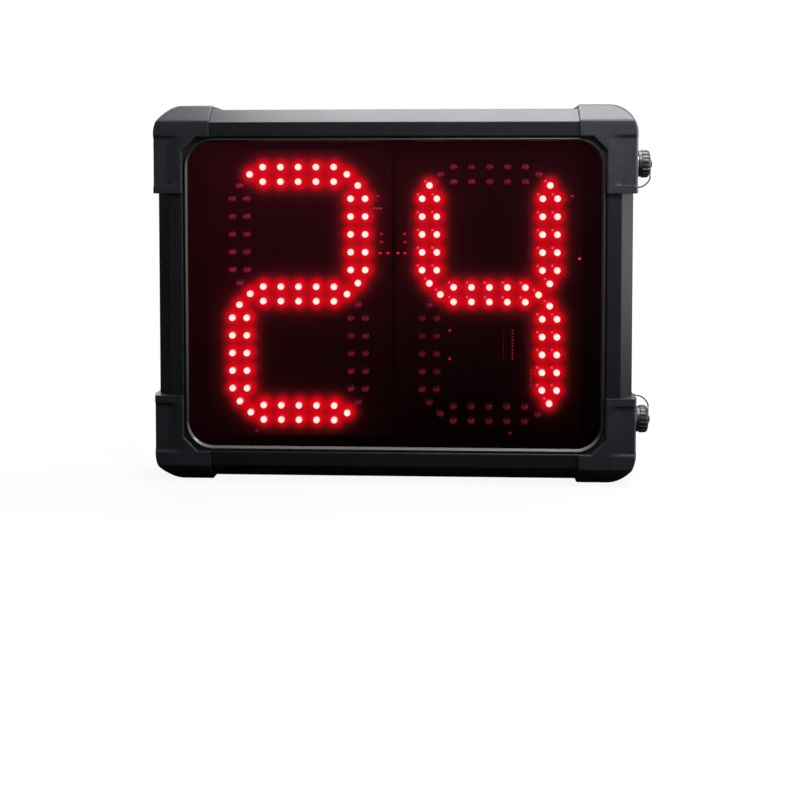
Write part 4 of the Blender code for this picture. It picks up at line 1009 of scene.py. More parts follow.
@dataclass
class CornerPiece(SubAssembly):
    """One moulded corner: a channel carried round an L path, with a slant, a recess and fillets.

    p runs in from the outer side, q in from the outer top or bottom, and v back from the front.
    """

    level: Level = Level.TOP
    hand: Hand = Hand.LEFT
    half_width: float = 187.5
    half_height: float = 146.5
    depth: float = 70.0
    across: float = 46.0
    down: float = 68.5
    band: float = 25.5
    radius: float = 22.5
    chamfer: float = 10.5
    nick: float = 1.2
    side_cut: tuple = (3.3, 14.0)
    crease: float = 13.3
    slope: float = 10.6 / 14
    edge: float = 1.5
    end_lip: float = 0.4
    lip: float = 1.5
    skin: float = 2.1
    side_wall: float = 3.2
    rear_skin: float = 2.7
    recess: tuple = (19.0, 25.0, 62.5, 6.0, 1.4)

    def front(self, points: np.ndarray) -> np.ndarray:
        """Give the front surface's depth.

        The slant is a softened ramp outside the crease. Beside the outer outline a steeper ramp
        falls to the same depth. The recess is a shallow step inside its signed distance, and
        the arms' ends are rounded off.

        Args:
            points: (p, q), the distances in from the side and from the top or bottom.

        Returns:
            The depths v.
        """
        p, q = points[..., 0], points[..., 1]
        over = self.crease - q
        slant = (over + np.sqrt(over**2 + 0.3)) / 2 / self.slope
        cut, cut_depth = self.side_cut
        outline = self.radius - np.sqrt(self.radius**2 - np.clip(self.radius - q, 0, self.radius) ** 2)
        beside = cut - (p - outline)
        ease = np.clip(q / self.crease, 0, 1)
        slant = slant + (beside + np.sqrt(beside**2 + 0.05)) / 2 * cut_depth / cut * ease
        width, start, end, radius, depth = self.recess
        out_p = np.maximum(p - width + radius, 0)
        out_q = np.maximum(q - end + radius, 0) + 1e-6
        beyond = np.hypot(out_p, out_q)
        soft = 0.4 + 7 * smoothstep(0.4, 1.0, out_p / beyond)
        step = depth * smoothstep(start - 1, start + 1.5, q) * (1 - smoothstep(-soft, soft, beyond - radius))
        left = np.clip(self.end_lip - np.minimum(self.across - p, self.down - q), 0, self.end_lip)
        return slant + step + self.end_lip - np.sqrt(self.end_lip**2 - left**2)

    def stations(self) -> tuple:
        """Give the outer and inner point of each station along the L.

        Returns:
            Two arrays of (p, q).
        """
        r, inner, band = self.radius, self.band + self.chamfer, self.band
        angle = np.linspace(0, np.pi / 2, 37)
        arc = join(r - r * np.sin(angle), r - r * np.cos(angle))
        turn_in = (inner - 1.5, band + 1.5), (band + 1.5, inner - 1.5)
        across, down = self.across - self.nick, self.down - self.nick
        ledge = (self.recess[2] - inner) / (down - inner)
        before, after = ledge - 0.05, ledge + 0.05
        along = [
            np.linspace(0, before, 46)[:-1], np.linspace(before, after, 24), np.linspace(after + 0.01, 1, 9),
        ]
        nick = np.linspace(0, 1, 7)
        legs = [
            ((self.across, self.nick), (across, 0), (self.across, band), (across, band), nick),
            ((across, 0), (inner, 0), (across, band), (inner, band), np.linspace(0, 1, 16)),
            ((inner, 0), (r, 0), (inner, band), turn_in[0], np.linspace(0, 1, 20)),
            (None, None, turn_in[0], turn_in[1], np.linspace(0, 1, 37)),
            ((0, r), (0, inner), turn_in[1], (band, inner), np.linspace(0, 1, 30)),
            ((0, inner), (0, down), (band, inner), (band, down), np.concatenate(along)),
            ((0, down), (self.nick, self.down), (band, down), (band, self.down), nick),
        ]
        outer_points, inner_points = [], []
        for start, end, inner_start, inner_end, share in legs:
            t = share[:, None]
            path = arc if start is None else (1 - t) * np.array(start) + t * np.array(end)
            keep = slice(0, None) if start == (0, down) else slice(0, -1)
            outer_points.append(path[keep])
            inner_points.append(((1 - t) * np.array(inner_start) + t * np.array(inner_end))[keep])
        return np.concatenate(outer_points), np.concatenate(inner_points)

    def shell(self) -> Shell:
        """Carry the channel's section along the L.

        Each ring runs from the inner lip over the front, round the outer edge, back along the
        side, round to the rear face, and home through the hollow that takes the rails.

        Returns:
            The closed shell.
        """
        outer, inner = self.stations()
        length = np.linalg.norm(outer - inner, axis=1, keepdims=True)
        unit = (outer - inner) / length
        rim, close = length - self.edge, 5.0
        broad = self.lip + np.linspace(0, 1, 40)[None, :-1] * (rim - close - self.lip)
        fine = rim - close * (1 - np.linspace(0, 1, 24)[None])
        spread = inner[:, None] + unit[:, None] * np.concatenate([broad, fine], axis=1)[..., None]
        face = deep(spread, self.front(spread))
        edge_depth, inner_depth = self.front(outer), self.front(inner)
        bend = np.exp(-(((np.arange(len(outer)) - np.argmin(outer.sum(axis=1))) / 16.0) ** 2))[:, None]
        wall_in = outer - unit * (self.side_wall + 7 * bend)
        under = np.linspace(0, 1, 9)[None, :, None]
        under = wall_in[:, None] * (1 - under) + inner[:, None] * under
        nearest = np.minimum(under[..., 0], under[..., 1])
        hollow = self.skin + np.clip(self.crease + 0.67 - nearest, 0, None) / self.slope
        rear, back = self.depth - self.rear_skin, self.depth
        rings = np.concatenate([
            bezier(deep(inner, inner_depth + self.lip), deep(inner, inner_depth), face[:, 0], 4)[:, :-1],
            face,
            bezier(face[:, -1], deep(outer, edge_depth), deep(outer, edge_depth + self.edge), 5)[:, 1:],
            bezier(deep(outer, back - 1), deep(outer, back), deep(outer - unit, back), 4),
            bezier(deep(inner + unit * 0.5, back), deep(inner, back), deep(inner, back - 0.5), 3),
            deep(inner, rear)[:, None],
            deep(wall_in, rear)[:, None],
            deep(under, hollow),
        ], axis=1)
        p, q, v = rings[..., 0], rings[..., 1], rings[..., 2]
        x = self.hand.value * (self.half_width - p)
        z = self.level.value * (self.half_height - q)
        return loft(join(x, v - self.depth, z))

    def build(self) -> None:
        """Make the corner piece and sink its holes: the screw's, the socket's and the anchor's."""
        name = f"{self.level.word}_{self.hand.word}_corner"
        shells = [self.shell()]
        made = self.piece(f"{name}_dressed", shells, [CORNER_PLASTIC], "corner_plastic", (name,), sharp=40)
        centre = (self.hand.value * CORNER_SCREW[0], 0, self.level.value * CORNER_SCREW[1])
        sunk = [(SCREW_HOLE, -12), (SCREW_HOLE, -1.4), (3.1, -1.4), (3.1, 2)]
        cutters = [revolve(sunk, Y_AXIS, centre, 32)]
        if self.hand is Hand.RIGHT:
            y, z = SOCKET_PLACE
            shank, pin = [(SOCKET_HOLE, -6), (SOCKET_HOLE, 2)], [(1.3, -2.6), (1.3, 1)]
            for profile, up, steps in ((shank, z, 40), (pin, z - ANCHOR_DROP, 16)):
                cutters.append(revolve(profile, X_AXIS, (self.half_width, y, self.level.value * up), steps))
        drill(made, cutters)


@dataclass
class WindowUnit(SubAssembly):
    """The smoked window and the grey gasket whose rounded bead frames it."""

    half: tuple = (168.0, 127.0)
    bead_inner: tuple = (158.6, 117.6)
    bead_radius: float = 19.0
    bead_width: float = 2.8
    bead_front: float = 0.4
    flange: tuple = (1.9, 3.1)
    stations: int = 100
    flange_faces: int = 5

    def gasket(self) -> Shell:
        """Carry the gasket's section round the window.

        Each station lies on the rounded bead; its flange reaches out to the rectangle, along
        the ray from the centre of the bead's corner arc.

        Returns:
            The closed shell.
        """
        arc = np.linspace(0, np.pi / 2, self.stations // 4)
        rays, bases, rims = [], [], []
        for turn, sign in enumerate(((1, 1), (-1, 1), (-1, -1), (1, -1))):
            angle = arc + turn * np.pi / 2
            ray = join(np.cos(angle), np.sin(angle))
            centre = np.array(sign, float) * (np.array(self.bead_inner) - self.bead_radius)
            reach = (np.array(self.half) - np.abs(centre)) / np.maximum(np.abs(ray), 1e-6)
            rays.append(ray)
            bases.append(centre + ray * self.bead_radius)
            rims.append(centre + ray * reach.min(axis=1, keepdims=True))
        ray, base, rim = (np.concatenate(part) for part in (rays, bases, rims))
        front, (flange_front, flange_rear) = self.bead_front, self.flange
        crown = [
            (0, flange_rear), (0, front + 1.6), (1.4, front), (2.0, front), (2.9, front + 1.0),
            (2.9, flange_rear),
        ]
        crown = rounded(crown, [0.05, 0.3, 0.25, 0.25, 0.15, 0.05], 9)[10:50][::-1]
        foot = base + ray * (self.bead_width + 0.4)
        section = [
            (base, flange_rear - 0.2), (base + ray * 0.2, flange_rear), (rim, flange_rear),
            (rim, flange_front), (foot, flange_front), *((base + ray * across, v) for across, v in crown),
        ]
        plane = np.stack([points for points, _ in section], axis=1)
        depth = np.array([v for _, v in section])
        return loft(at_depth(plane, RAIL_FRONT + depth), loop=True)

    def build(self) -> None:
        """Make the gasket, its bead glossier than its flange, and tint the window."""
        finishes = [BEAD_RUBBER, GASKET_RUBBER]
        made = self.piece("gasket_dressed", [self.gasket()], finishes, "gasket", ("window_gasket",))
        count = len(made.data.polygons)
        place = np.arange(count) % (count // self.stations)
        made.data.polygons.foreach_set("material_index", (place < self.flange_faces).astype(int))
        self.dress("front_window", Glazing())


@dataclass
class RearCover(SubAssembly):
    """The pressed rear cover with its raised panel, and the eight black screws."""

    half: tuple = (182.1, 141.1)
    corner_cut: float = 18.4
    base: float = -3.0
    sheet: float = 1.5
    panel: tuple = (148.5, 107.5)
    panel_radius: float = 12.0
    screw_out: float = 12.2

    def ring(self, half: tuple, radius: float, y: float, cut: bool = False) -> np.ndarray:
        """Give one rectangle with rounded or cut corners, as the same number of points.

        Args:
            half: half width and half height.
            radius: the corner's radius, or the length of its cut.
            y: the ring's y.
            cut: straight cut corners.

        Returns:
            The ring's points.
        """
        turn, share = np.linspace(0, np.pi / 2, 13), np.linspace(0, 1, 13)
        quarter = join(1 - share, share) if cut else join(np.cos(turn), np.sin(turn))
        centre = np.array(half) - radius
        corners = (((1, 1), 1), ((-1, 1), -1), ((-1, -1), 1), ((1, -1), -1))
        flat = [np.array(sign) * (centre + quarter[::swap] * radius) for sign, swap in corners]
        return at_depth(np.concatenate(flat), y)

    def panel_ring(self, out: float, y: float) -> np.ndarray:
        """Give a ring that runs a distance outside the raised panel's edge."""
        return self.ring((self.panel[0] + out, self.panel[1] + out), max(self.panel_radius + out, 2), y)

    def shell(self) -> Shell:
        """Give the pan: concentric rings over the outside, round the edge and back inside.

        The rings' height follows an S from the base to the raised panel, and the inside is
        the same S one sheet further in.

        Returns:
            The closed shell.
        """
        rise = [(-30, 1), (-2, 1), (-1, 0.96), (-0.2, 0.84), (1.6, 0.28), (2.4, 0.08), (3.6, 0), (9, 0)]
        front = self.base - self.sheet
        inside = (self.half[0] - 0.3, self.half[1] - 0.3)
        edge = (
            (inside, self.base), (self.half, self.base - 0.3), (self.half, front + 0.3), (inside, front),
        )
        rings = [self.panel_ring(out, self.base * (1 - share)) for out, share in rise]
        rings += [self.ring(half, self.corner_cut, y, True) for half, y in edge]
        rings += [self.panel_ring(out - 0.6, front - self.base * share) for out, share in rise[::-1]]
        return loft(np.array(rings))

    def screw(self) -> np.ndarray:
        """Give one screw's rings about its own axis, with a hexagonal socket in its head.

        Returns:
            Rings of (across, height, up), the head's top at the largest height.
        """
        steps = 24
        turned = [
            (0.4, -7.0), (1.5, -5.9), (1.5, 0.0), (2.7, 0.0), (2.8, 0.12), (2.8, 0.75), (2.55, 1.2),
            (2.0, 1.46), (1.6, 1.5),
        ]
        key = [(1.25, 1.5), (1.15, 1.4), (1.15, 0.55), (0.5, 0.45)]
        key_radius = math.cos(math.pi / 6) * hexagon(steps)
        radii = [np.full(steps, radius) for radius, _ in turned] + [key_radius * radius for radius, _ in key]
        ways = circle(1, steps) @ np.stack([X_AXIS, Z_AXIS])
        return rings_about(Y_AXIS, ways, radii, [height for _, height in turned + key], (0, 0, 0))

    def build(self) -> None:
        """Make the cover, drill it and put the screws in."""
        wide, high = (half + self.screw_out for half in HALF_OPENING)
        sides = {"top": (0, high), "bottom": (0, -high), "left": (-wide, 0), "right": (wide, 0)}
        places = {f"{side}_cover_screw": (x, z, -2.7) for side, (x, z) in sides.items()}
        for level in Level:
            for hand in Hand:
                x, z = hand.value * CORNER_SCREW[0], level.value * CORNER_SCREW[1]
                places[f"{level.word}_{hand.word}_corner_screw"] = (x, z, -1.6)
        shells = [self.shell()]
        cover = self.piece("rear_cover_dressed", shells, [COVER_BLACK], "cover", ("rear_cover",), sharp=50)
        hole = [(SCREW_HOLE, -8), (SCREW_HOLE, 2)]
        drill(cover, [revolve(hole, Y_AXIS, (x, 0, z), 20) for x, z, _ in places.values()])
        for name, (x, z, seat) in places.items():
            shell = loft(self.screw() + np.array([x, seat, z]))
            self.piece(f"{name}_dressed", [shell], [SCREW_BLACK], "screw", (name,))


@dataclass
class Lamps:
    """Where the LEDs of a digit are, which segments are lit, and the red glow painted round them."""

    across: float = 46.3
    up: float = 92.8
    pitch: float = 13.8
    row: float = 5.65
    end: float = 37.8
    digit: float = 74.0
    reach: float = 5.0
    bell_reach: float = 4.0
    haze_reach: tuple = (32.0, 6.0)
    haze_share: tuple = ((Hand.LEFT, 0.009), (Hand.RIGHT, 0.0045))

    def frames(self) -> dict:
        """Give each segment's place in a digit.

        Returns:
            The centre's x and z, and whether the segment stands upright, per letter.
        """
        a, u = self.across, self.up
        return {
            "a": (0, u, False), "b": (a, u / 2, True), "c": (a, -u / 2, True), "d": (0, -u, False),
            "e": (-a, -u / 2, True), "f": (-a, u / 2, True), "g": (0, 0, False),
        }

    def shown(self, hand: Hand) -> str:
        """Give the lit segments: a 2 on the left and a 4 on the right."""
        return "abged" if hand is Hand.LEFT else "fbgc"

    def leds(self, hand: Hand, letter: str) -> np.ndarray:
        """Give the places of one segment's twelve LEDs.

        Args:
            hand: which digit.
            letter: which segment.

        Returns:
            Rows of x and z.
        """
        x, z, upright = self.frames()[letter]
        rows = [join(evenly(5, self.pitch), side * self.row) for side in (1, -1)]
        spots = np.concatenate([*rows, [(-self.end, 0), (self.end, 0)]])
        spots = spots[:, ::-1] if upright else spots
        return spots + (hand.value * self.digit + x, z)

    def glow(self, x: np.ndarray, z: np.ndarray) -> np.ndarray:
        """Give the painted red light on the boards at points: emission for the lamps' light falling on them.

        Every lit LED spreads 1 / (1 + (distance / reach)^4). The sum saturates, as it does in
        a camera, with a brighter bell close to each LED and a faint haze about the digit.

        Args:
            x: places across.
            z: places up.

        Returns:
            The glow, from 0 to 1.
        """
        total, bell, haze = (np.zeros(np.shape(x)) for _ in range(3))
        # The painted haze is weaker toward the bottom.
        fade = 0.35 + 0.65 * smoothstep(-110, 40, z)
        wide, close = self.haze_reach
        for hand, strength in self.haze_share:
            nearest = np.full(np.shape(x), 1e3)
            for letter in self.shown(hand):
                spots = self.leds(hand, letter)
                gaps = np.hypot(x[..., None] - spots[:, 0], z[..., None] - spots[:, 1])
                total += (1 / (1 + (gaps / self.reach) ** 4)).sum(axis=-1)
                nearest = np.minimum(nearest, gaps.min(axis=-1))
            bell = np.maximum(bell, np.exp(-((nearest / self.bell_reach) ** 2)))
            haze += strength * (fade * np.exp(-nearest / wide) + 3 * np.exp(-nearest / close))
        band = 1 - np.exp(-((total / 0.34) ** 1.7))
        return np.clip(0.56 * band + 0.3 * bell + haze, 0, 1)


# Solder joints with painted glints of the red light: across from the board's inner edge, up, glow
JOINTS = {
    Hand.LEFT: (
        (2.8, 31.7, 0.5), (8.6, 31.7, 0.5), (7.8, 40.4, 0.4), (7.8, 46.7, 0.4), (10.6, 76, 0.3),
        (14.0, 66.4, 0.25), (11.4, 66.4, 0.25), (8.4, 66.4, 0.25), (106.1, -108.4, 0.1),
    ),
    Hand.RIGHT: (
        (1.2, 31.7, 0.5), (6.6, 31.7, 0.5), (6.6, 40.4, 0.4), (6.2, 46.7, 0.4), (141.5, 27.7, 0.62),
        (135.6, 76, 0.2), (41.5, -28.5, 0.2), (41.5, -50.6, 0.35), (88.8, -108.4, 0.1),
    ),
}


@dataclass
class DigitUnit(SubAssembly):
    """One digit: its board with parts, and seven segments of twelve LEDs on a spacer strip."""

    hand: Hand = Hand.LEFT
    lamps: Lamps = None
    board: tuple = (144.0, 224.0, 1.6)
    board_v: float = 16.4
    led_height: float = 8.6
    led_radius: float = 2.5
    led_steps: int = 14
    lit_rings: tuple = (0.45, 0.5, 0.6, 0.82, 0.95, 1.0, 1.0, 1.0)
    strip: float = 1.0
    # Painted glow of LEDs that are off, per segment.
    unlit: tuple = (("f", 0.14), ("c", 0.10), ("a", 0.13), ("d", 0.075), ("e", 0.065))
    screw_head: tuple = (
        (0.5, 0.3), (1.1, 0.4), (1.1, 1.5), (2.0, 1.4), (2.7, 0.9), (2.8, 0.1), (2.8, -0.1), (0.5, -0.1),
    )
    chip_place: tuple = (14.6, 39.4)
    screw_place: tuple = (60.0, 70.0)
    pale: tuple = ((0.009, 0.008, 0.009), (0.012, 0.010, 0.011))

    @property
    def front(self) -> float:
        """The y of the board's front."""
        return RAIL_FRONT + self.board_v

    @property
    def centre(self) -> float:
        """The x of the digit's middle."""
        return self.hand.value * self.lamps.digit

    def painted_lamp_light(self, shell: Shell, share: float) -> Shell:
        """Give a shell a share of the lamps' glow at each of its points, as painted red light."""
        shell.values = share * self.lamps.glow(shell.points[:, 0], shell.points[:, 2])
        return shell

    def painted_glint(self, shell: Shell, level: float | np.ndarray) -> Shell:
        """Give a shell's points a glow of their own: a painted glint."""
        shell.values = np.broadcast_to(level, len(shell.points)).astype(float)
        return shell

    def led(self, spots: np.ndarray, base_y: float, lit: bool, level: float) -> list:
        """Make the LEDs of one segment: a flange, a cylinder and a dome.

        Args:
            spots: x and z of each LED.
            base_y: the y of the strip's front.
            lit: the LED is on.
            level: painted glow of an LED that is off.

        Returns:
            One shell per LED, and the painted glints beside lit LEDs of the right digit.
        """
        height = base_y - (self.front - self.led_height)
        r = self.led_radius
        profile = [(r + 0.25, -0.3), (r + 0.25, 0.8), (r, 1.0), (r, height - r)]
        dome = np.linspace(0.35, np.pi / 2 - 0.12, 4)
        profile += [(r * math.cos(turn), height - r + r * math.sin(turn)) for turn in dome]
        shells = []
        for number, (x, z) in enumerate(spots):
            shell = revolve(profile, -Y_AXIS, (x, base_y, z), self.led_steps, finish=1)
            if lit:
                shell.values = np.repeat(self.lit_rings, self.led_steps)
            else:
                # Painted highlight: an LED that is off glows most in a band across its middle.
                band = np.exp(-((np.abs(shell.points[:, 2] - z) / 1.45) ** 3))
                shell.values = level * (0.85 + 0.15 * math.sin(5.3 * number)) * (0.12 + 0.88 * band)
            shells.append(shell)
        # Painted reflections: pink emissive pads up and to the left of the right digit's lit LEDs.
        if lit and self.hand is Hand.RIGHT:
            pads = many_blocks(at_depth(spots + (-3.4, 3.4), base_y - 0.1), (1.6, 0.3, 1.6), 1)
            shells.append(self.painted_glint(pads, 0.72))
        return shells

    def strip_shell(self, letter: str, front: float) -> Shell:
        """Make a segment's thin spacer: a grid over a hexagon with tapered ends.

        Args:
            letter: which segment.
            front: the y of its front.

        Returns:
            The closed shell.
        """
        x, z, upright = self.lamps.frames()[letter]
        half_width = self.lamps.row + self.led_radius + 0.4
        half_length = self.lamps.end + math.sqrt(2) * (self.led_radius + 0.4)
        along = np.linspace(-half_length + 0.4, half_length - 0.4, 84)
        width = np.minimum(half_width, half_length - np.abs(along))
        side = width[:, None] * np.linspace(-1, 1, 18)[None]
        run = np.broadcast_to(along[:, None], side.shape)
        across, level = (side, run) if upright else (run, side)
        across, level = across + x + self.centre, level + z
        # The strip carries the painted red glow of the lamps' light.
        return plate(join(across, front, level), front + self.strip, self.lamps.glow(across, level))

    def chip(self, x: float, z: float, shine: float) -> list:
        """Make a driver chip: a chamfered body and two rows of ten bent legs.

        Args:
            x: its centre across.
            z: its centre up.
            shine: painted red glint on the legs that face the lit segment.

        Returns:
            The shells.
        """
        front = self.front
        body = block((x - 2.6, front - 2.0, z - 12.8), (x + 2.6, front - 0.25, z + 12.8), 0.4)
        # The chip's body gets a painted share of the lamps' red light.
        shells = [self.painted_lamp_light(body, 0.8)]
        level = z + evenly(10, 2.54)
        for side in (-1, 1):
            # The legs carry a painted glint, brighter on the side toward the lit segment.
            feet = many_blocks(join(x + side * 3.5, front - 0.2, level), (1.2, 0.3, 1.1), 3)
            knees = many_blocks(join(x + side * 2.85, front - 0.8, level), (0.5, 1.2, 0.8), 1)
            shells += [self.painted_glint(feet, shine * (1.0 if side > 0 else 0.2)), knees]
        return shells

    def board_shells(self) -> list:
        """Make the board: a fine grid that carries the painted red glow, and the parts on both its faces.

        Returns:
            The shells.
        """
        width, height, thickness = self.board
        centre, front = self.centre, self.front
        right = self.hand is Hand.RIGHT
        xs = centre + np.linspace(-width / 2, width / 2, 97)
        x, z = np.meshgrid(xs, np.linspace(-height / 2, height / 2, 150))
        # The board carries the painted red glow of the lamps' light.
        shells = [plate(join(x, front, z), front + thickness, self.lamps.glow(x, z))]
        for level in (1, -1):
            for column in (1, -1):
                seen = right and level < 0 < column
                across, up = self.chip_place
                shells += self.chip(centre + column * across, level * up, 0.19 if seen else 0.0)
                across, up = self.screw_place
                place = (centre + column * across, front - 0.1, level * up)
                # The screw head gets a painted share of the lamps' red light.
                shells.append(self.painted_lamp_light(revolve(self.screw_head, -Y_AXIS, place, 24), 0.7))
        rows = np.arange(12) * 4.2 - 23
        for column in (-1, 1):
            for step in (-25.0, 25.0):
                spots = join(centre + step + column * 2, front - 0.25, rows + column * 46.4)
                shells += resistors(spots, (1.6, 0.5, 0.8), (0.95, 0.3), (4, 1))
        # Painted glints: solder joints glow as if catching the red light.
        joints = np.array(JOINTS[self.hand])
        pads = join(self.hand.value * (2.0 + joints[:, 0]), front - 0.15, joints[:, 1])
        shells.append(self.painted_glint(many_blocks(pads, (2.2, 0.3, 1.6), 3), np.repeat(joints[:, 2], 8)))
        # Painted glints on a row of pads of the right digit.
        network = many_blocks(join(centre + 32.6, front - 0.15, evenly(5, 2.75) - 65), (1.2, 0.3, 1.2), 3)
        shells.append(self.painted_glint(network, 0.3 if right else 0.0))
        header_y = front + thickness
        shells.append(block((centre - 10, header_y, -3), (centre + 10, header_y + 8, 3), 0.4, 5))
        shells.append(many_blocks(join(centre + evenly(10, 1.8), front - 0.6, 0), (0.5, 1.2, 0.5), 2))
        return shells

    def build(self) -> None:
        """Make the board and its seven segments."""
        board, lens = PaintedGlowBoard("digit_board_mask"), LampFinish()
        finishes = [board, CHIP_BLACK, TIN, lens, RESISTOR_BLACK, HEADER_CREAM]
        name = f"{self.hand.word}_digit_board"
        self.piece(f"{name}_dressed", self.board_shells(), finishes, "circuit_board", (name,))
        strip_front = self.front - 0.3 - self.strip
        finishes = [PaintedGlowBoard("spacer_strip", *self.pale), lens]
        for letter in self.lamps.frames():
            lit = letter in self.lamps.shown(self.hand)
            spots = self.lamps.leds(self.hand, letter)
            shells = [self.strip_shell(letter, strip_front)]
            shells += self.led(spots, strip_front, lit, dict(self.unlit).get(letter, 0.2))
            name = f"{self.hand.word}_segment_{letter}"
            slot = "led_lit" if lit else "led_dark"
            self.piece(f"{name}_dressed", shells, finishes, slot, (name,), sharp=45)


@dataclass
class Electronics(SubAssembly):
    """The parts behind the digits: bars, controller, radio module, converter and buzzer."""

    board: tuple = ((-90.0, -11.6, -35.0), (20.0, -10.0, 35.0))
    middle: float = -35.0
    header_places: tuple = (-74.0, 6.0)
    header: tuple = (20.0, 8.2, 6.0)
    terminal: tuple = (10.0, 20.0, 12.5)
    posts: tuple = (50.0, 30.0)
    radio: tuple = ((-86.0, -17.5, 14.0), (-50.0, -16.3, 32.0))
    aerial: tuple = (-80.0, -19.4, 23.0)
    converter: tuple = (105.0, -45.0, 28.0, 18.0)
    converter_y: tuple = (-21.8, -1.8)
    buzzer: tuple = (-122.0, -1.8, 55.0)
    leg_depth: float = 0.24

    @property
    def front(self) -> float:
        """The y of the controller board's front."""
        return self.board[0][1]

    def plug(self, x: float) -> list:
        """Make a header on the board with the ribbon's plug pushed into it.

        Args:
            x: the header's centre across.

        Returns:
            The header, the plug, its latch bar and its row of contacts.
        """
        width, depth, height = self.header
        root = self.front + 0.2
        seam, tip, half = root - 0.55 * depth, root - depth, width / 2
        contacts = join(x + evenly(10, 1.6), tip + 1.2, -2.45)
        return [
            block((x - half, seam, -height / 2), (x + half, root, height / 2), 0.3, 2),
            block((x - half + 0.6, tip, -2.4), (x + half - 0.6, seam + 0.1, 2.4), 0.4, 1),
            block((x - 3, tip + 0.6, 2.3), (x + 3, seam - 0.4, 2.9), 0.2, 1),
            many_blocks(contacts, (0.7, 1.4, 0.3), 3),
        ]

    def processor(self) -> list:
        """Make the processor: a thin square body and twelve bent legs along each side.

        Returns:
            The shells.
        """
        x, front = self.middle, self.front
        dot = [(0.1, 0), (0.5, 0), (0.45, 0.03), (0.1, 0.03)]
        shells = [
            block((x - 5.1, front - 1.4, -5.1), (x + 5.1, front - 0.15, 5.1), 0.3, 1),
            revolve(dot, -Y_AXIS, (x - 3.9, front - 1.4, 3.9), 16, 4),
        ]
        along, level = evenly(12, 0.8), front - 0.12
        for edge in (-5.55, 5.55):
            shells.append(many_blocks(join(x + edge, level, along), (0.9, self.leg_depth, 0.36), 3))
            shells.append(many_blocks(join(x + along, level, edge), (0.36, self.leg_depth, 0.9), 3))
        return shells

    def terminal_block(self) -> list:
        """Make the three-pole screw terminal at the board's right-hand edge.

        Returns:
            The shells.
        """
        low, high, foot = self.terminal
        front = self.front + 0.2
        screw = [(0.2, -0.3), (1.5, -0.3), (1.7, -0.5), (1.7, -1.6), (0.2, -1.6)]
        shells = []
        for z in (foot, foot + 5, foot + 10):
            x, middle = (low + high) / 2, z + 2.5
            shells += [
                block((low, front - 7.2, z), (high, front, z + 5), 0.25, 5),
                block((low + 1.2, front - 10, z + 0.15), (high - 1.2, front - 7, z + 4.85), 0.7, 5),
                revolve(screw, -Y_AXIS, (x, front - 10.45, middle), 24, 3),
                block((high - 0.3, front - 5.4, z + 1.2), (high + 0.02, front - 2.2, z + 3.8), 0.1, 1),
                many_blocks([(x, front - 10.2, middle)], (2.4, 0.12, 0.4), 1),
            ]
        return shells

    def capacitor(self, x: float, z: float, radius: float, height: float) -> Shell:
        """Make a can capacitor: a rolled groove near its base and a rounded top edge.

        Args:
            x: its centre across.
            z: its centre up.
            radius: the can's radius.
            height: the can's height.

        Returns:
            The closed shell.
        """
        r = radius
        profile = [
            (0.2, 0), (r - 0.2, 0), (r, 0.2), (r, 0.9), (r - 0.3, 1.2), (r - 0.3, 1.5), (r, 1.8),
            (r, height - 0.5), (r - 0.15, height - 0.15), (r - 0.5, height), (r - 0.9, height - 0.1),
            (0.2, height - 0.1),
        ]
        return revolve(profile, -Y_AXIS, (x, self.front, z), 32, 6)

    def small_chip(self, x: float, z: float, wide: float, tall: float) -> list:
        """Make a small chip and the legs along its two upright sides.

        Args:
            x: its centre across.
            z: its centre up.
            wide: half the body's width.
            tall: half the body's height.

        Returns:
            The shells.
        """
        front, pitch = self.front, 1.27
        shells = [block((x - wide, front - 1.6, z - tall), (x + wide, front - 0.2, z + tall), 0.3, 1)]
        level = z + evenly(int(tall * 2 / pitch), pitch)
        for side in (-1, 1):
            spots = join(x + side * (wide + 0.4), front - 0.12, level)
            shells.append(many_blocks(spots, (0.9, self.leg_depth, 0.45), 3))
        return shells

    def fixings(self) -> list:
        """Make a screw and a six-sided post at each corner of the controller.

        Returns:
            The shells.
        """
        head = [
            (0.3, 0.9), (1.3, 1.0), (1.4, 1.6), (2.0, 1.6), (2.5, 1.1), (2.6, 0.2), (2.6, -0.1), (0.3, -0.1),
        ]
        post = [(1.0, 0), (2.3, 0), (2.5, 0.2), (2.5, 8.0), (2.3, 8.2), (1.0, 8.2)]
        shells = []
        for side_x in (-1, 1):
            for side_z in (-1, 1):
                x, z = self.middle + side_x * self.posts[0], side_z * self.posts[1]
                shells.append(revolve(head, -Y_AXIS, (x, self.front, z), 32, 3))
                shells.append(revolve(post, Y_AXIS, (x, self.board[1][1], z), 6, 9))
        return shells

    def controller(self) -> None:
        """Make the controller: the board, its plugs, processor, terminal, small parts and posts."""
        front = self.front
        shells = [block(*self.board, 0.25)]
        for x in self.header_places:
            shells += self.plug(x)
        shells += self.processor() + self.terminal_block()
        for can in ((-8, 22, 3.1, 7.2), (-16, 22, 3.1, 7.2), (8, -23, 4.0, 7.8)):
            shells.append(self.capacitor(*can))
        for chip in ((-58, -18, 2.5, 4.5), (-18, -12, 2.5, 4.5), (-45, 24, 3.2, 5.2), (2, 26, 3.3, 3.1)):
            shells += self.small_chip(*chip)
        shells.append(block((-24.5, front - 1.6, 9.5), (-20.5, front - 0.05, 20.5), 0.7, 7))
        rows, columns = np.meshgrid(np.arange(6), np.arange(3))
        for x, z, gap, finish in ((-60, 2, 3.0, 1), (-26, -26, 3.2, 8), (-81, -24, 3.2, 8)):
            spots = join(x + rows * gap, front - 0.25, z + columns * 2.6).reshape(-1, 3)
            shells += resistors(spots, (1.4, 0.5, 0.9), (0.85, 0.35), (finish, 3))
        shells += self.fixings()
        finishes = [BOARD_GREEN, CHIP_BLACK, RESISTOR_BLACK, TIN, HEADER_CREAM, TERMINAL_GREEN, SHIELD_CAN,
                    SHIELD_CAN, CERAMIC, NICKEL]
        self.piece("controller_dressed", shells, finishes, "circuit_board", ("controller_board",), sharp=40)

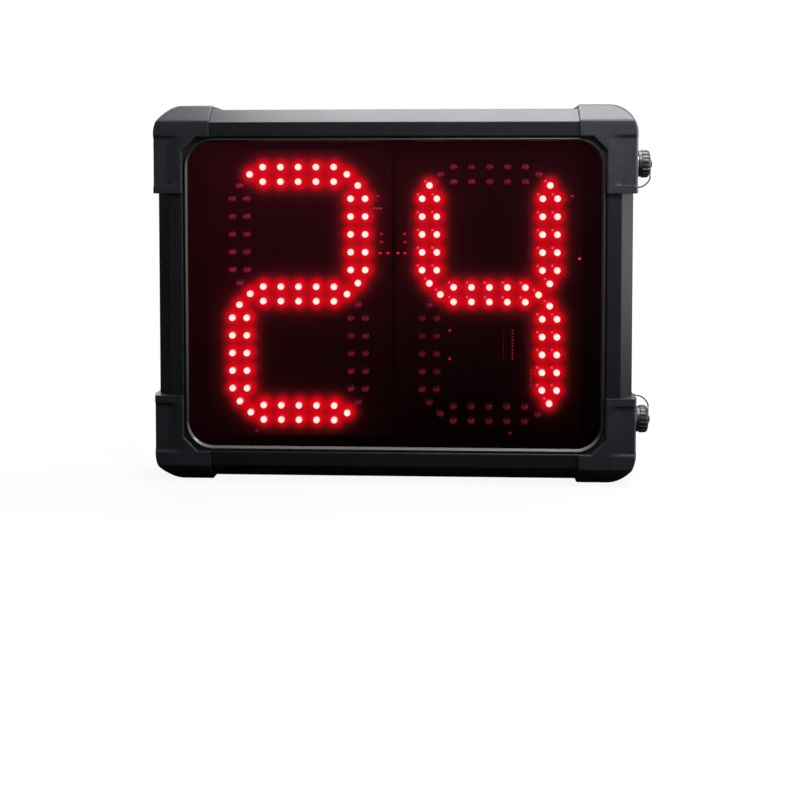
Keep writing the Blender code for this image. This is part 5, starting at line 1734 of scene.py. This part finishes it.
    def radio_module(self) -> None:
        """Make the radio module: a small board on a pin strip, its shield can and its aerial."""
        low, high = self.radio
        middle = (low[2] + high[2]) / 2
        rod = [
            (0.8, 0), (2.3, 0), (2.5, 0.3), (2.5, 3.4), (2.1, 3.8), (2.1, 4.6), (2.5, 5.0), (2.5, 5.6),
            (2.35, 5.8), (2.2, 20.6), (1.8, 21.6), (0.8, 22),
        ]
        shells = [
            block(low, high, 0.2),
            block((-68.8, -20.3, 17), (-52.8, -17.6, 29), 0.8, 1),
            block((-69.1, -17.9, 16.7), (-52.5, -17.4, 29.3), 0.1, 1),
            block((-80.5, -16.4, middle - 1.25), (-55.5, -14.0, middle + 1.25), 0.2, 2),
            block((-78.5, -19.0, 15.5), (-73.5, -17.4, 20.0), 0.3, 2),
            many_blocks(join(-68 + evenly(10, 2.5), -12.95, middle), (0.6, 2.1, 0.6), 3),
            many_blocks(join(-71.2, -17.7, 16 + np.arange(6) * 2.7), (1.2, 0.5, 0.8), 4),
            revolve(rod, Z_AXIS, self.aerial, 32, 5),
        ]
        finishes = [BOARD_GREEN, SHIELD_CAN, CHIP_BLACK, TIN, CERAMIC, SEAL_RUBBER]
        self.piece("radio_dressed", shells, finishes, "circuit_board", ("radio_module",), sharp=40)

    def power_converter(self) -> None:
        """Make the converter: a moulded case filled with resin, and a drilled ear at each end.

        The case is a rounded rectangle whose rings step in over the front edge and down into
        the tray that holds the resin. An ear's rings run from its hole out to its outline and
        back, each point of the hole on the ray to a point of the outline.
        """
        x, z, half_x, half_z = self.converter
        front, rear = self.converter_y
        steps = (
            (rear, 0.5), (rear - 0.4, 0), (front + 1.0, 0), (front + 0.3, 0.25), (front, 0.9), (front, 2.2),
            (front + 0.2, 2.5), (front + 1.4, 2.6),
        )
        rings = []
        for y, inset in steps:
            flat = rounded(SQUARE * (half_x - inset, half_z - inset), 3.0, 5)
            rings.append(at_depth(flat + (x, z), y))
        inside = rounded(SQUARE * (half_x - 2.7, half_z - 2.7), 3.0, 5)
        resin = prism(inside, (X_AXIS, Z_AXIS, Y_AXIS), (x, front, z), (0.9, 1.3), 1)
        shells = [loft(np.array(rings)), resin]
        hole = np.array([0, 3.8])
        ear = rounded([(-7, -1), (7, -1), (7, 8), (-7, 8)], [0.1, 0.1, 3.0, 3.0], 8)
        ray = (ear - hole) / np.linalg.norm(ear - hole, axis=1, keepdims=True)
        bore, mouth = hole + 2.1 * ray, hole + 2.3 * ray
        for side in (-1, 1):
            rings = [
                join(x + flat[:, 0], rear + y, z + side * (half_z + flat[:, 1]))
                for flat, y in ((bore, -0.2), (mouth, 0), (ear, 0), (ear, -2.0), (bore, -2.0))
            ]
            shells.append(loft(np.array(rings), loop=True))
        finishes = [CONVERTER_CASE, POTTING]
        self.piece("converter_dressed", shells, finishes, "converter_case", ("power_converter",))

    def sounder(self) -> None:
        """Make the buzzer: a turned case with a stepped face, and the disc behind its sound hole."""
        profile = [
            (0.2, 9), (3, 9), (3, 13.5), (3.3, 14), (5.6, 14), (5.8, 13.6), (6.4, 13.6), (6.6, 14),
            (13.6, 14), (14.6, 13.6), (15, 12.8), (15, 2.5), (15.4, 2.05), (17.6, 2), (18, 1.7), (18, 0.3),
            (17.7, 0), (0.2, 0),
        ]
        disc = [(0.2, 8.9), (2.9, 8.9), (2.9, 9.25), (0.2, 9.35)]
        shells = [revolve(profile, -Y_AXIS, self.buzzer, 64), revolve(disc, -Y_AXIS, self.buzzer, 32, 1)]
        self.piece("buzzer_dressed", shells, [BUZZER_BLACK, MEMBRANE], "buzzer", ("buzzer",))

    def build(self) -> None:
        """Make everything behind the digits."""
        for level in Level:
            self.dress(f"{level.socket_word}_board_bar", BAR_ZINC)
        self.controller()
        self.radio_module()
        self.power_converter()
        self.sounder()


@dataclass
class SocketSet(SubAssembly):
    """One socket with its seal and nut, its knurled dust cap on a stud, the tag and the tether."""

    level: Level = Level.TOP
    y: float = SOCKET_PLACE[0]
    z: float = SOCKET_PLACE[1]
    nut_x: float = 179.1
    seal_x: float = 187.8
    flange_x: float = 189.1
    cap_x: float = 191.4
    tag_x: float = 201.1
    wire_x: tuple = (201.4, 191.5)
    tail: float = 9.0
    seal_section: tuple = ((8.4, 0), (10.0, 0), (10.2, 0.25), (10.2, 0.75), (10.0, 1.0), (8.4, 1.0))

    @property
    def down(self) -> int:
        """The way along Z from the cap to the anchor, toward the timer's middle."""
        return -self.level.value

    def centre(self, x: float, drop: float = 0) -> tuple:
        """Give the point on the axis at an x, or one that lies a drop toward the anchor."""
        return (x, self.y, self.level.value * self.z + self.down * drop)

    def rings(self, radii: np.ndarray, heights: np.ndarray, x: float, steps: int) -> np.ndarray:
        """Give rings about the socket's axis that start at +Y and turn toward +Z.

        Args:
            radii: a radius per ring, or per ring and point.
            heights: how far out each ring lies.
            x: the x of height zero.
            steps: points in each ring.

        Returns:
            Rings, points and coordinates.
        """
        ways = circle(1, steps) @ np.stack([Y_AXIS, Z_AXIS])
        return rings_about(X_AXIS, ways, radii, heights, self.centre(x))

    def cap(self) -> Shell:
        """Make the cap as rings about the axis.

        The radius is the profile's, less a rounded groove that repeats round the axis where the
        cap is knurled: each row is a radius, a height and the groove's share.

        Returns:
            The closed shell.
        """
        steps, ribs = 180, 18
        outline = [
            (0.8, 7.5, 0), (8.8, 7.5, 0), (8.8, 0.4, 0), (9.2, 0, 0), (10.0, 0, 0), (10.3, 0.3, 0),
            (10.3, 2.5, 0), (10.4, 2.7, 0), (10.75, 2.75, 0.2), (11.0, 3.1, 1), (11.0, 5.0, 1),
            (10.97, 6.2, 1), (10.8, 7.2, 1), (10.45, 8.0, 0.9), (9.9, 8.6, 0.6), (9.1, 9.0, 0.2),
            (7.9, 9.22, 0), (6.4, 9.3, 0), (1.7, 9.3, 0), (1.6, 9.5, 0), (1.6, 10.4, 0), (2.7, 10.45, 0),
            (2.8, 10.6, 0), (2.7, 10.9, 0), (2.2, 11.15, 0), (0.7, 11.2, 0),
        ]
        radii, heights, knurl = np.array(outline).T
        angle = 2 * np.pi * np.arange(steps) / steps
        groove = 0.7 * np.clip(np.cos(ribs * angle) * 1.5 - 0.3, 0, 1)
        return loft(self.rings(radii[:, None] - knurl[:, None] * groove, heights, self.cap_x, steps))

    def socket(self) -> list:
        """Make the socket: flange, threaded barrel with a cavity, shank and four contacts.

        The thread is a fine ripple of the barrel's and the shank's radius along the axis.

        Returns:
            The shells.
        """
        barrel = [(8.5 - 0.18 * (k % 2), 2.4 + 6.2 * t) for k, t in enumerate(np.linspace(0, 1, 29))]
        shank = [(8.0 - 0.15 * (k % 2), -16.2 + 15.6 * t) for k, t in enumerate(np.linspace(0, 1, 41))]
        flange = [(7.8, -0.3), (7.8, 0), (10.0, 0), (10.3, 0.3), (10.3, 1.7), (10.0, 2), (8.3, 2), (8.2, 2.2)]
        cavity = [(8.4, 8.9), (8.1, 9.2), (6.7, 9.2), (6.5, 9.0), (6.5, 3.7), (1.0, 3.7)]
        profile = [(1.0, -17), (7.4, -17), (7.8, -16.6), *shank, *flange, *barrel, *cavity]
        shells = [revolve(profile, X_AXIS, self.centre(self.flange_x), 48)]
        pin = [(0.4, 2.0), (0.9, 2.0), (0.9, 7.2), (0.6, 7.8), (0.2, 7.9)]
        x, y, z = self.centre(self.flange_x)
        for angle in np.radians([45, 135, 225, 315]):
            spot = (x, y + 3.2 * math.cos(angle), z + 3.2 * math.sin(angle))
            shells.append(revolve(pin, X_AXIS, spot, 16, 1))
        return shells

    def nut(self) -> Shell:
        """Make the hexagonal nut as rings that meet round its bore.

        Returns:
            The closed shell.
        """
        steps = 48
        turned, sides = np.ones(steps), hexagon(steps)
        shapes = [
            (8.3 * turned, 0.3), (8.6 * turned, 0.0), (9.6 * turned, 0.0), (10 * sides, 0.5),
            (10 * sides, 2.5), (9.6 * turned, 3.0), (8.6 * turned, 3.0), (8.3 * turned, 2.7),
        ]
        radii, heights = zip(*shapes)
        return loft(self.rings(radii, heights, self.nut_x, steps), loop=True)

    def tag(self) -> Shell:
        """Make the flat tag: a ring round the stud that runs into a tail, as nested outlines.

        Returns:
            The closed shell.
        """
        steps, half, ring = 60, 1.3, 4.0
        across, along = circle(1, steps)[:, ::-1].T
        facing = (along > 0) & (np.abs(across) < half / 4)
        tail = np.minimum(self.tail / np.maximum(along, 1e-3), half / np.maximum(np.abs(across), 1e-3))
        reach = np.where(facing, tail, ring)
        bore = np.ones(steps)
        shapes = [
            (2.0 * bore, 0.1), (2.1 * bore, 0.0), (reach - 0.1, 0.0), (reach, 0.1),
            (reach, 0.5), (reach - 0.1, 0.6), (2.1 * bore, 0.6), (2.0 * bore, 0.5),
        ]
        radii, heights = zip(*shapes)
        ways = join(across, along) @ np.stack([Y_AXIS, self.down * Z_AXIS])
        return loft(rings_about(X_AXIS, ways, radii, heights, self.centre(self.tag_x)), loop=True)

    def tether(self) -> Shell:
        """Make the wire from the tag's tail, out over the cap's edge and back to the anchor.

        Returns:
            The closed shell.
        """
        start, end = self.wire_x
        route = np.array([(0, 0), (0, 0.17), (0.05, 0.35), (0.17, 0.55), (0.38, 0.77), (0.67, 0.94), (1, 1)])
        top = self.tail + 0.3
        z = self.centre(0)[2] + self.down * (top + route[:, 1] * (ANCHOR_DROP - top))
        path = smooth_path(join(start + route[:, 0] * (end - start), self.y, z), 60)
        return along_path(path, circle(0.55, 12), Y_AXIS)

    def build(self) -> None:
        """Make the set, each piece on the body that carries it; the tether is then taken off its body."""
        word = self.level.socket_word
        swivel, cap = f"{word}_cap_swivel", f"{word}_cap"
        seal = self.rings(*np.array(self.seal_section).T, self.seal_x, 48)
        pin = [
            (0.5, -2), (0.9, -1.8), (1.0, -1.5), (1.0, 0), (2.8, 0), (3.0, 0.2), (3.0, 0.6), (2.6, 0.8),
            (1.5, 1.0), (1.2, 2.4), (0.9, 3.35), (0.5, 3.4),
        ]
        anchor = revolve(pin, X_AXIS, self.centre(self.seal_x, ANCHOR_DROP), 24)
        pieces = (
            ("socket", self.socket(), [NICKEL, TIN], "nickel", "socket", BOX),
            ("seal", [loft(seal, loop=True)], [SEAL_RUBBER], "seal", "socket_seal", BOX),
            ("nut", [self.nut()], [NICKEL], "nickel", "socket_nut", BOX),
            ("cap", [self.cap()], [CAP_METAL], "cap_metal", "cap", cap),
            ("tag", [self.tag()], [BLACK_NICKEL], "nickel", "cap_tag", swivel),
            ("anchor", [anchor], [BLACK_NICKEL], "nickel", "tether_anchor", BOX),
            ("tether", [self.tether()], [TETHER_STEEL], "tether", "tether", swivel),
        )
        made = [
            self.piece(f"{word}_{name}_dressed", shells, finishes, slot, (f"{word}_{node}",), body)
            for name, shells, finishes, slot, node, body in pieces
        ]
        tether = made[-1]
        tether.parent = None
        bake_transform(tether)


@dataclass
class Leads(SubAssembly):
    """The two round leads and the two ribbon cables inside the box."""

    wires: int = 10
    width: float = 16.0
    thickness: float = 0.9
    reach: tuple = (-19.9, -41.3)
    ends: tuple = ((-74.0, -74.0, 5.0), (6.0, 74.0, 0.0))

    def ribbon(self, hand: Hand) -> list:
        """Make one ribbon: a strip of round wires side by side along a double bend.

        The section's half thickness is a web plus one hump of a sine for each wire. The wire
        at the top edge is a shell of its own, since it is red.

        Args:
            hand: which ribbon.

        Returns:
            The grey wires and the red one.
        """
        start, end, bulge = self.ends[0 if hand is Hand.LEFT else 1]
        route = np.array([(0, 0, 0), (0, 0.2, 0), (0.2, 0.42, 1), (0.8, 0.58, -1), (1, 0.8, 0), (1, 1, 0)])
        x = start + route[:, 0] * (end - start) + route[:, 2] * bulge
        y = self.reach[0] + route[:, 1] * (self.reach[1] - self.reach[0])
        path = smooth_path(join(x, y, 0), 48)
        shells = []
        for low, high, finish in ((0, self.wires - 1, 0), (self.wires - 1, self.wires, 1)):
            across = np.linspace(low, high, 8 * (high - low) + 1)
            half = self.thickness * (0.22 + 0.28 * np.abs(np.sin(np.pi * across)))
            place = across * (self.width / self.wires) - self.width / 2
            section = np.concatenate([join(place, half), join(place, -half)[::-1]])
            shells.append(along_path(path, section, Z_AXIS, finish))
        return shells

    def build(self) -> None:
        """Give the round leads their jackets and make the ribbons."""
        for node in ("power_lead", "signal_lead"):
            self.dress(node, LEAD_JACKET)
        for hand in Hand:
            name = f"{hand.word}_ribbon_cable"
            self.piece(f"{name}_dressed", self.ribbon(hand), [RIBBON_GREY, RIBBON_RED], "ribbon", (name,))


@dataclass
class Studio:
    """The floor, the lights, the world and the camera."""

    floor_z: float = -146.5
    floor_half: float = 4000.0
    floor_lines: int = 9
    camera: tuple = (47.0, -1002.6, 80.0)
    turn: tuple = (87.5, 0, 2.8)
    lens: float = 55.18
    shift: tuple = (0.0068, -0.1944)
    ambient: float = 0.04
    bright_side: tuple = (0.65, 0, 0.76)
    mirrored: tuple = (0.12, 1.0)
    turn_share: tuple = (-0.45, 0.45)
    lights: tuple = (
        ("overhead_strip", (0.21, 0.28, 1.1), (0.1, -0.06, 0.14), (1.1, 0.32), 30),
        ("right_softbox", (1.3, 0.43, 0.05), (0.18, -0.06, 0), (0.7, 0.9), 4),
        ("top_key", (0.22, -0.24, 0.38), (0.12, -0.07, 0.12), (0.5, 0.12), 5.0),
        ("right_strip", (0.85, -0.32, 0.12), (0.12, -0.07, 0.03), (0.15, 0.5), 2.6),
        ("rear_fill", (-0.7, 1.0, 0.6), (-0.1, 0, 0), (0.7, 0.7), 8),
    )

    def floor(self) -> None:
        """Make the floor: a large flat grid under the feet."""
        side = np.linspace(-self.floor_half, self.floor_half, self.floor_lines)
        x, y = np.meshgrid(side, side)
        points = join(x, y, self.floor_z).reshape(-1, 3) * MM
        quads = grid_quads(np.arange(x.size).reshape(x.shape))
        mesh = bpy.data.meshes.new("floor")
        mesh.from_pydata(points.tolist(), [], quads.tolist())
        made = bpy.data.objects.new("floor", mesh)
        bpy.context.scene.collection.objects.link(made)
        mesh.materials.append(material_of(StudioWhite()))

    def light(self, name: str, place: tuple, aim: tuple, size: tuple, power: float) -> None:
        """Add a soft area light.

        Args:
            name: its name.
            place: its centre in metres.
            aim: the point it faces.
            size: its width and height in metres.
            power: watts.
        """
        data = bpy.data.lights.new(name, "AREA")
        data.shape = "RECTANGLE"
        data.size, data.size_y = size
        data.energy = power
        made = bpy.data.objects.new(name, data)
        made.location = place
        direction = made.location - type(made.location)(aim)
        made.rotation_euler = direction.to_track_quat("Z", "Y").to_euler()
        bpy.context.scene.collection.objects.link(made)

    def world(self) -> None:
        """Set a soft grey surround that camera and glass see as white.

        Glossy rays see white at the upper right, falling to dark at the lower left, like a
        studio with a dark curtain on that side.
        """
        world = bpy.data.worlds.new("surround")
        bpy.context.scene.world = world
        graph = Graph(world, "World")
        path = graph.node("LightPath").outputs
        seen = graph.math("MAXIMUM", path["Is Camera Ray"], path["Is Transmission Ray"])
        toward = graph.vector("DOT_PRODUCT", graph.node("TexCoord").outputs["Generated"], self.bright_side, 1)
        level = self.ambient
        dark_left_falloff = graph.soft_range(toward, *self.turn_share, *self.mirrored)
        for rays, target in ((path["Is Glossy Ray"], dark_left_falloff), (seen, 1.0)):
            level = graph.node("Mix", {0: rays, 2: level, 3: target}, data_type="FLOAT").outputs[0]
        light = graph.node("Background", {"Color": (1, 1, 1, 1), "Strength": level})
        graph.finish(light.outputs[0])

    def build(self) -> None:
        """Make the studio and set the camera."""
        self.floor()
        for light in self.lights:
            self.light(*light)
        self.world()
        data = bpy.data.cameras.new("camera")
        data.sensor_width = 36
        data.lens = self.lens
        data.shift_x, data.shift_y = self.shift
        data.clip_start = 0.01
        made = bpy.data.objects.new("camera", data)
        made.location = [value * MM for value in self.camera]
        made.rotation_euler = [math.radians(angle) for angle in self.turn]
        bpy.context.scene.collection.objects.link(made)
        bpy.context.scene.camera = made
        bpy.context.scene.view_settings.view_transform = "Standard"


def main() -> None:
    """Build the studio and every sub-assembly."""
    logging.basicConfig(level=logging.INFO, format="%(message)s")
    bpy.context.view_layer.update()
    Studio().build()
    FrameRails().build()
    for level in Level:
        for hand in Hand:
            CornerPiece(level=level, hand=hand).build()
    WindowUnit().build()
    RearCover().build()
    lamps = Lamps()
    for hand in Hand:
        DigitUnit(hand=hand, lamps=lamps).build()
    Electronics().build()
    for level in Level:
        SocketSet(level=level).build()
    Leads().build()


if __name__ == "__main__":
    main()
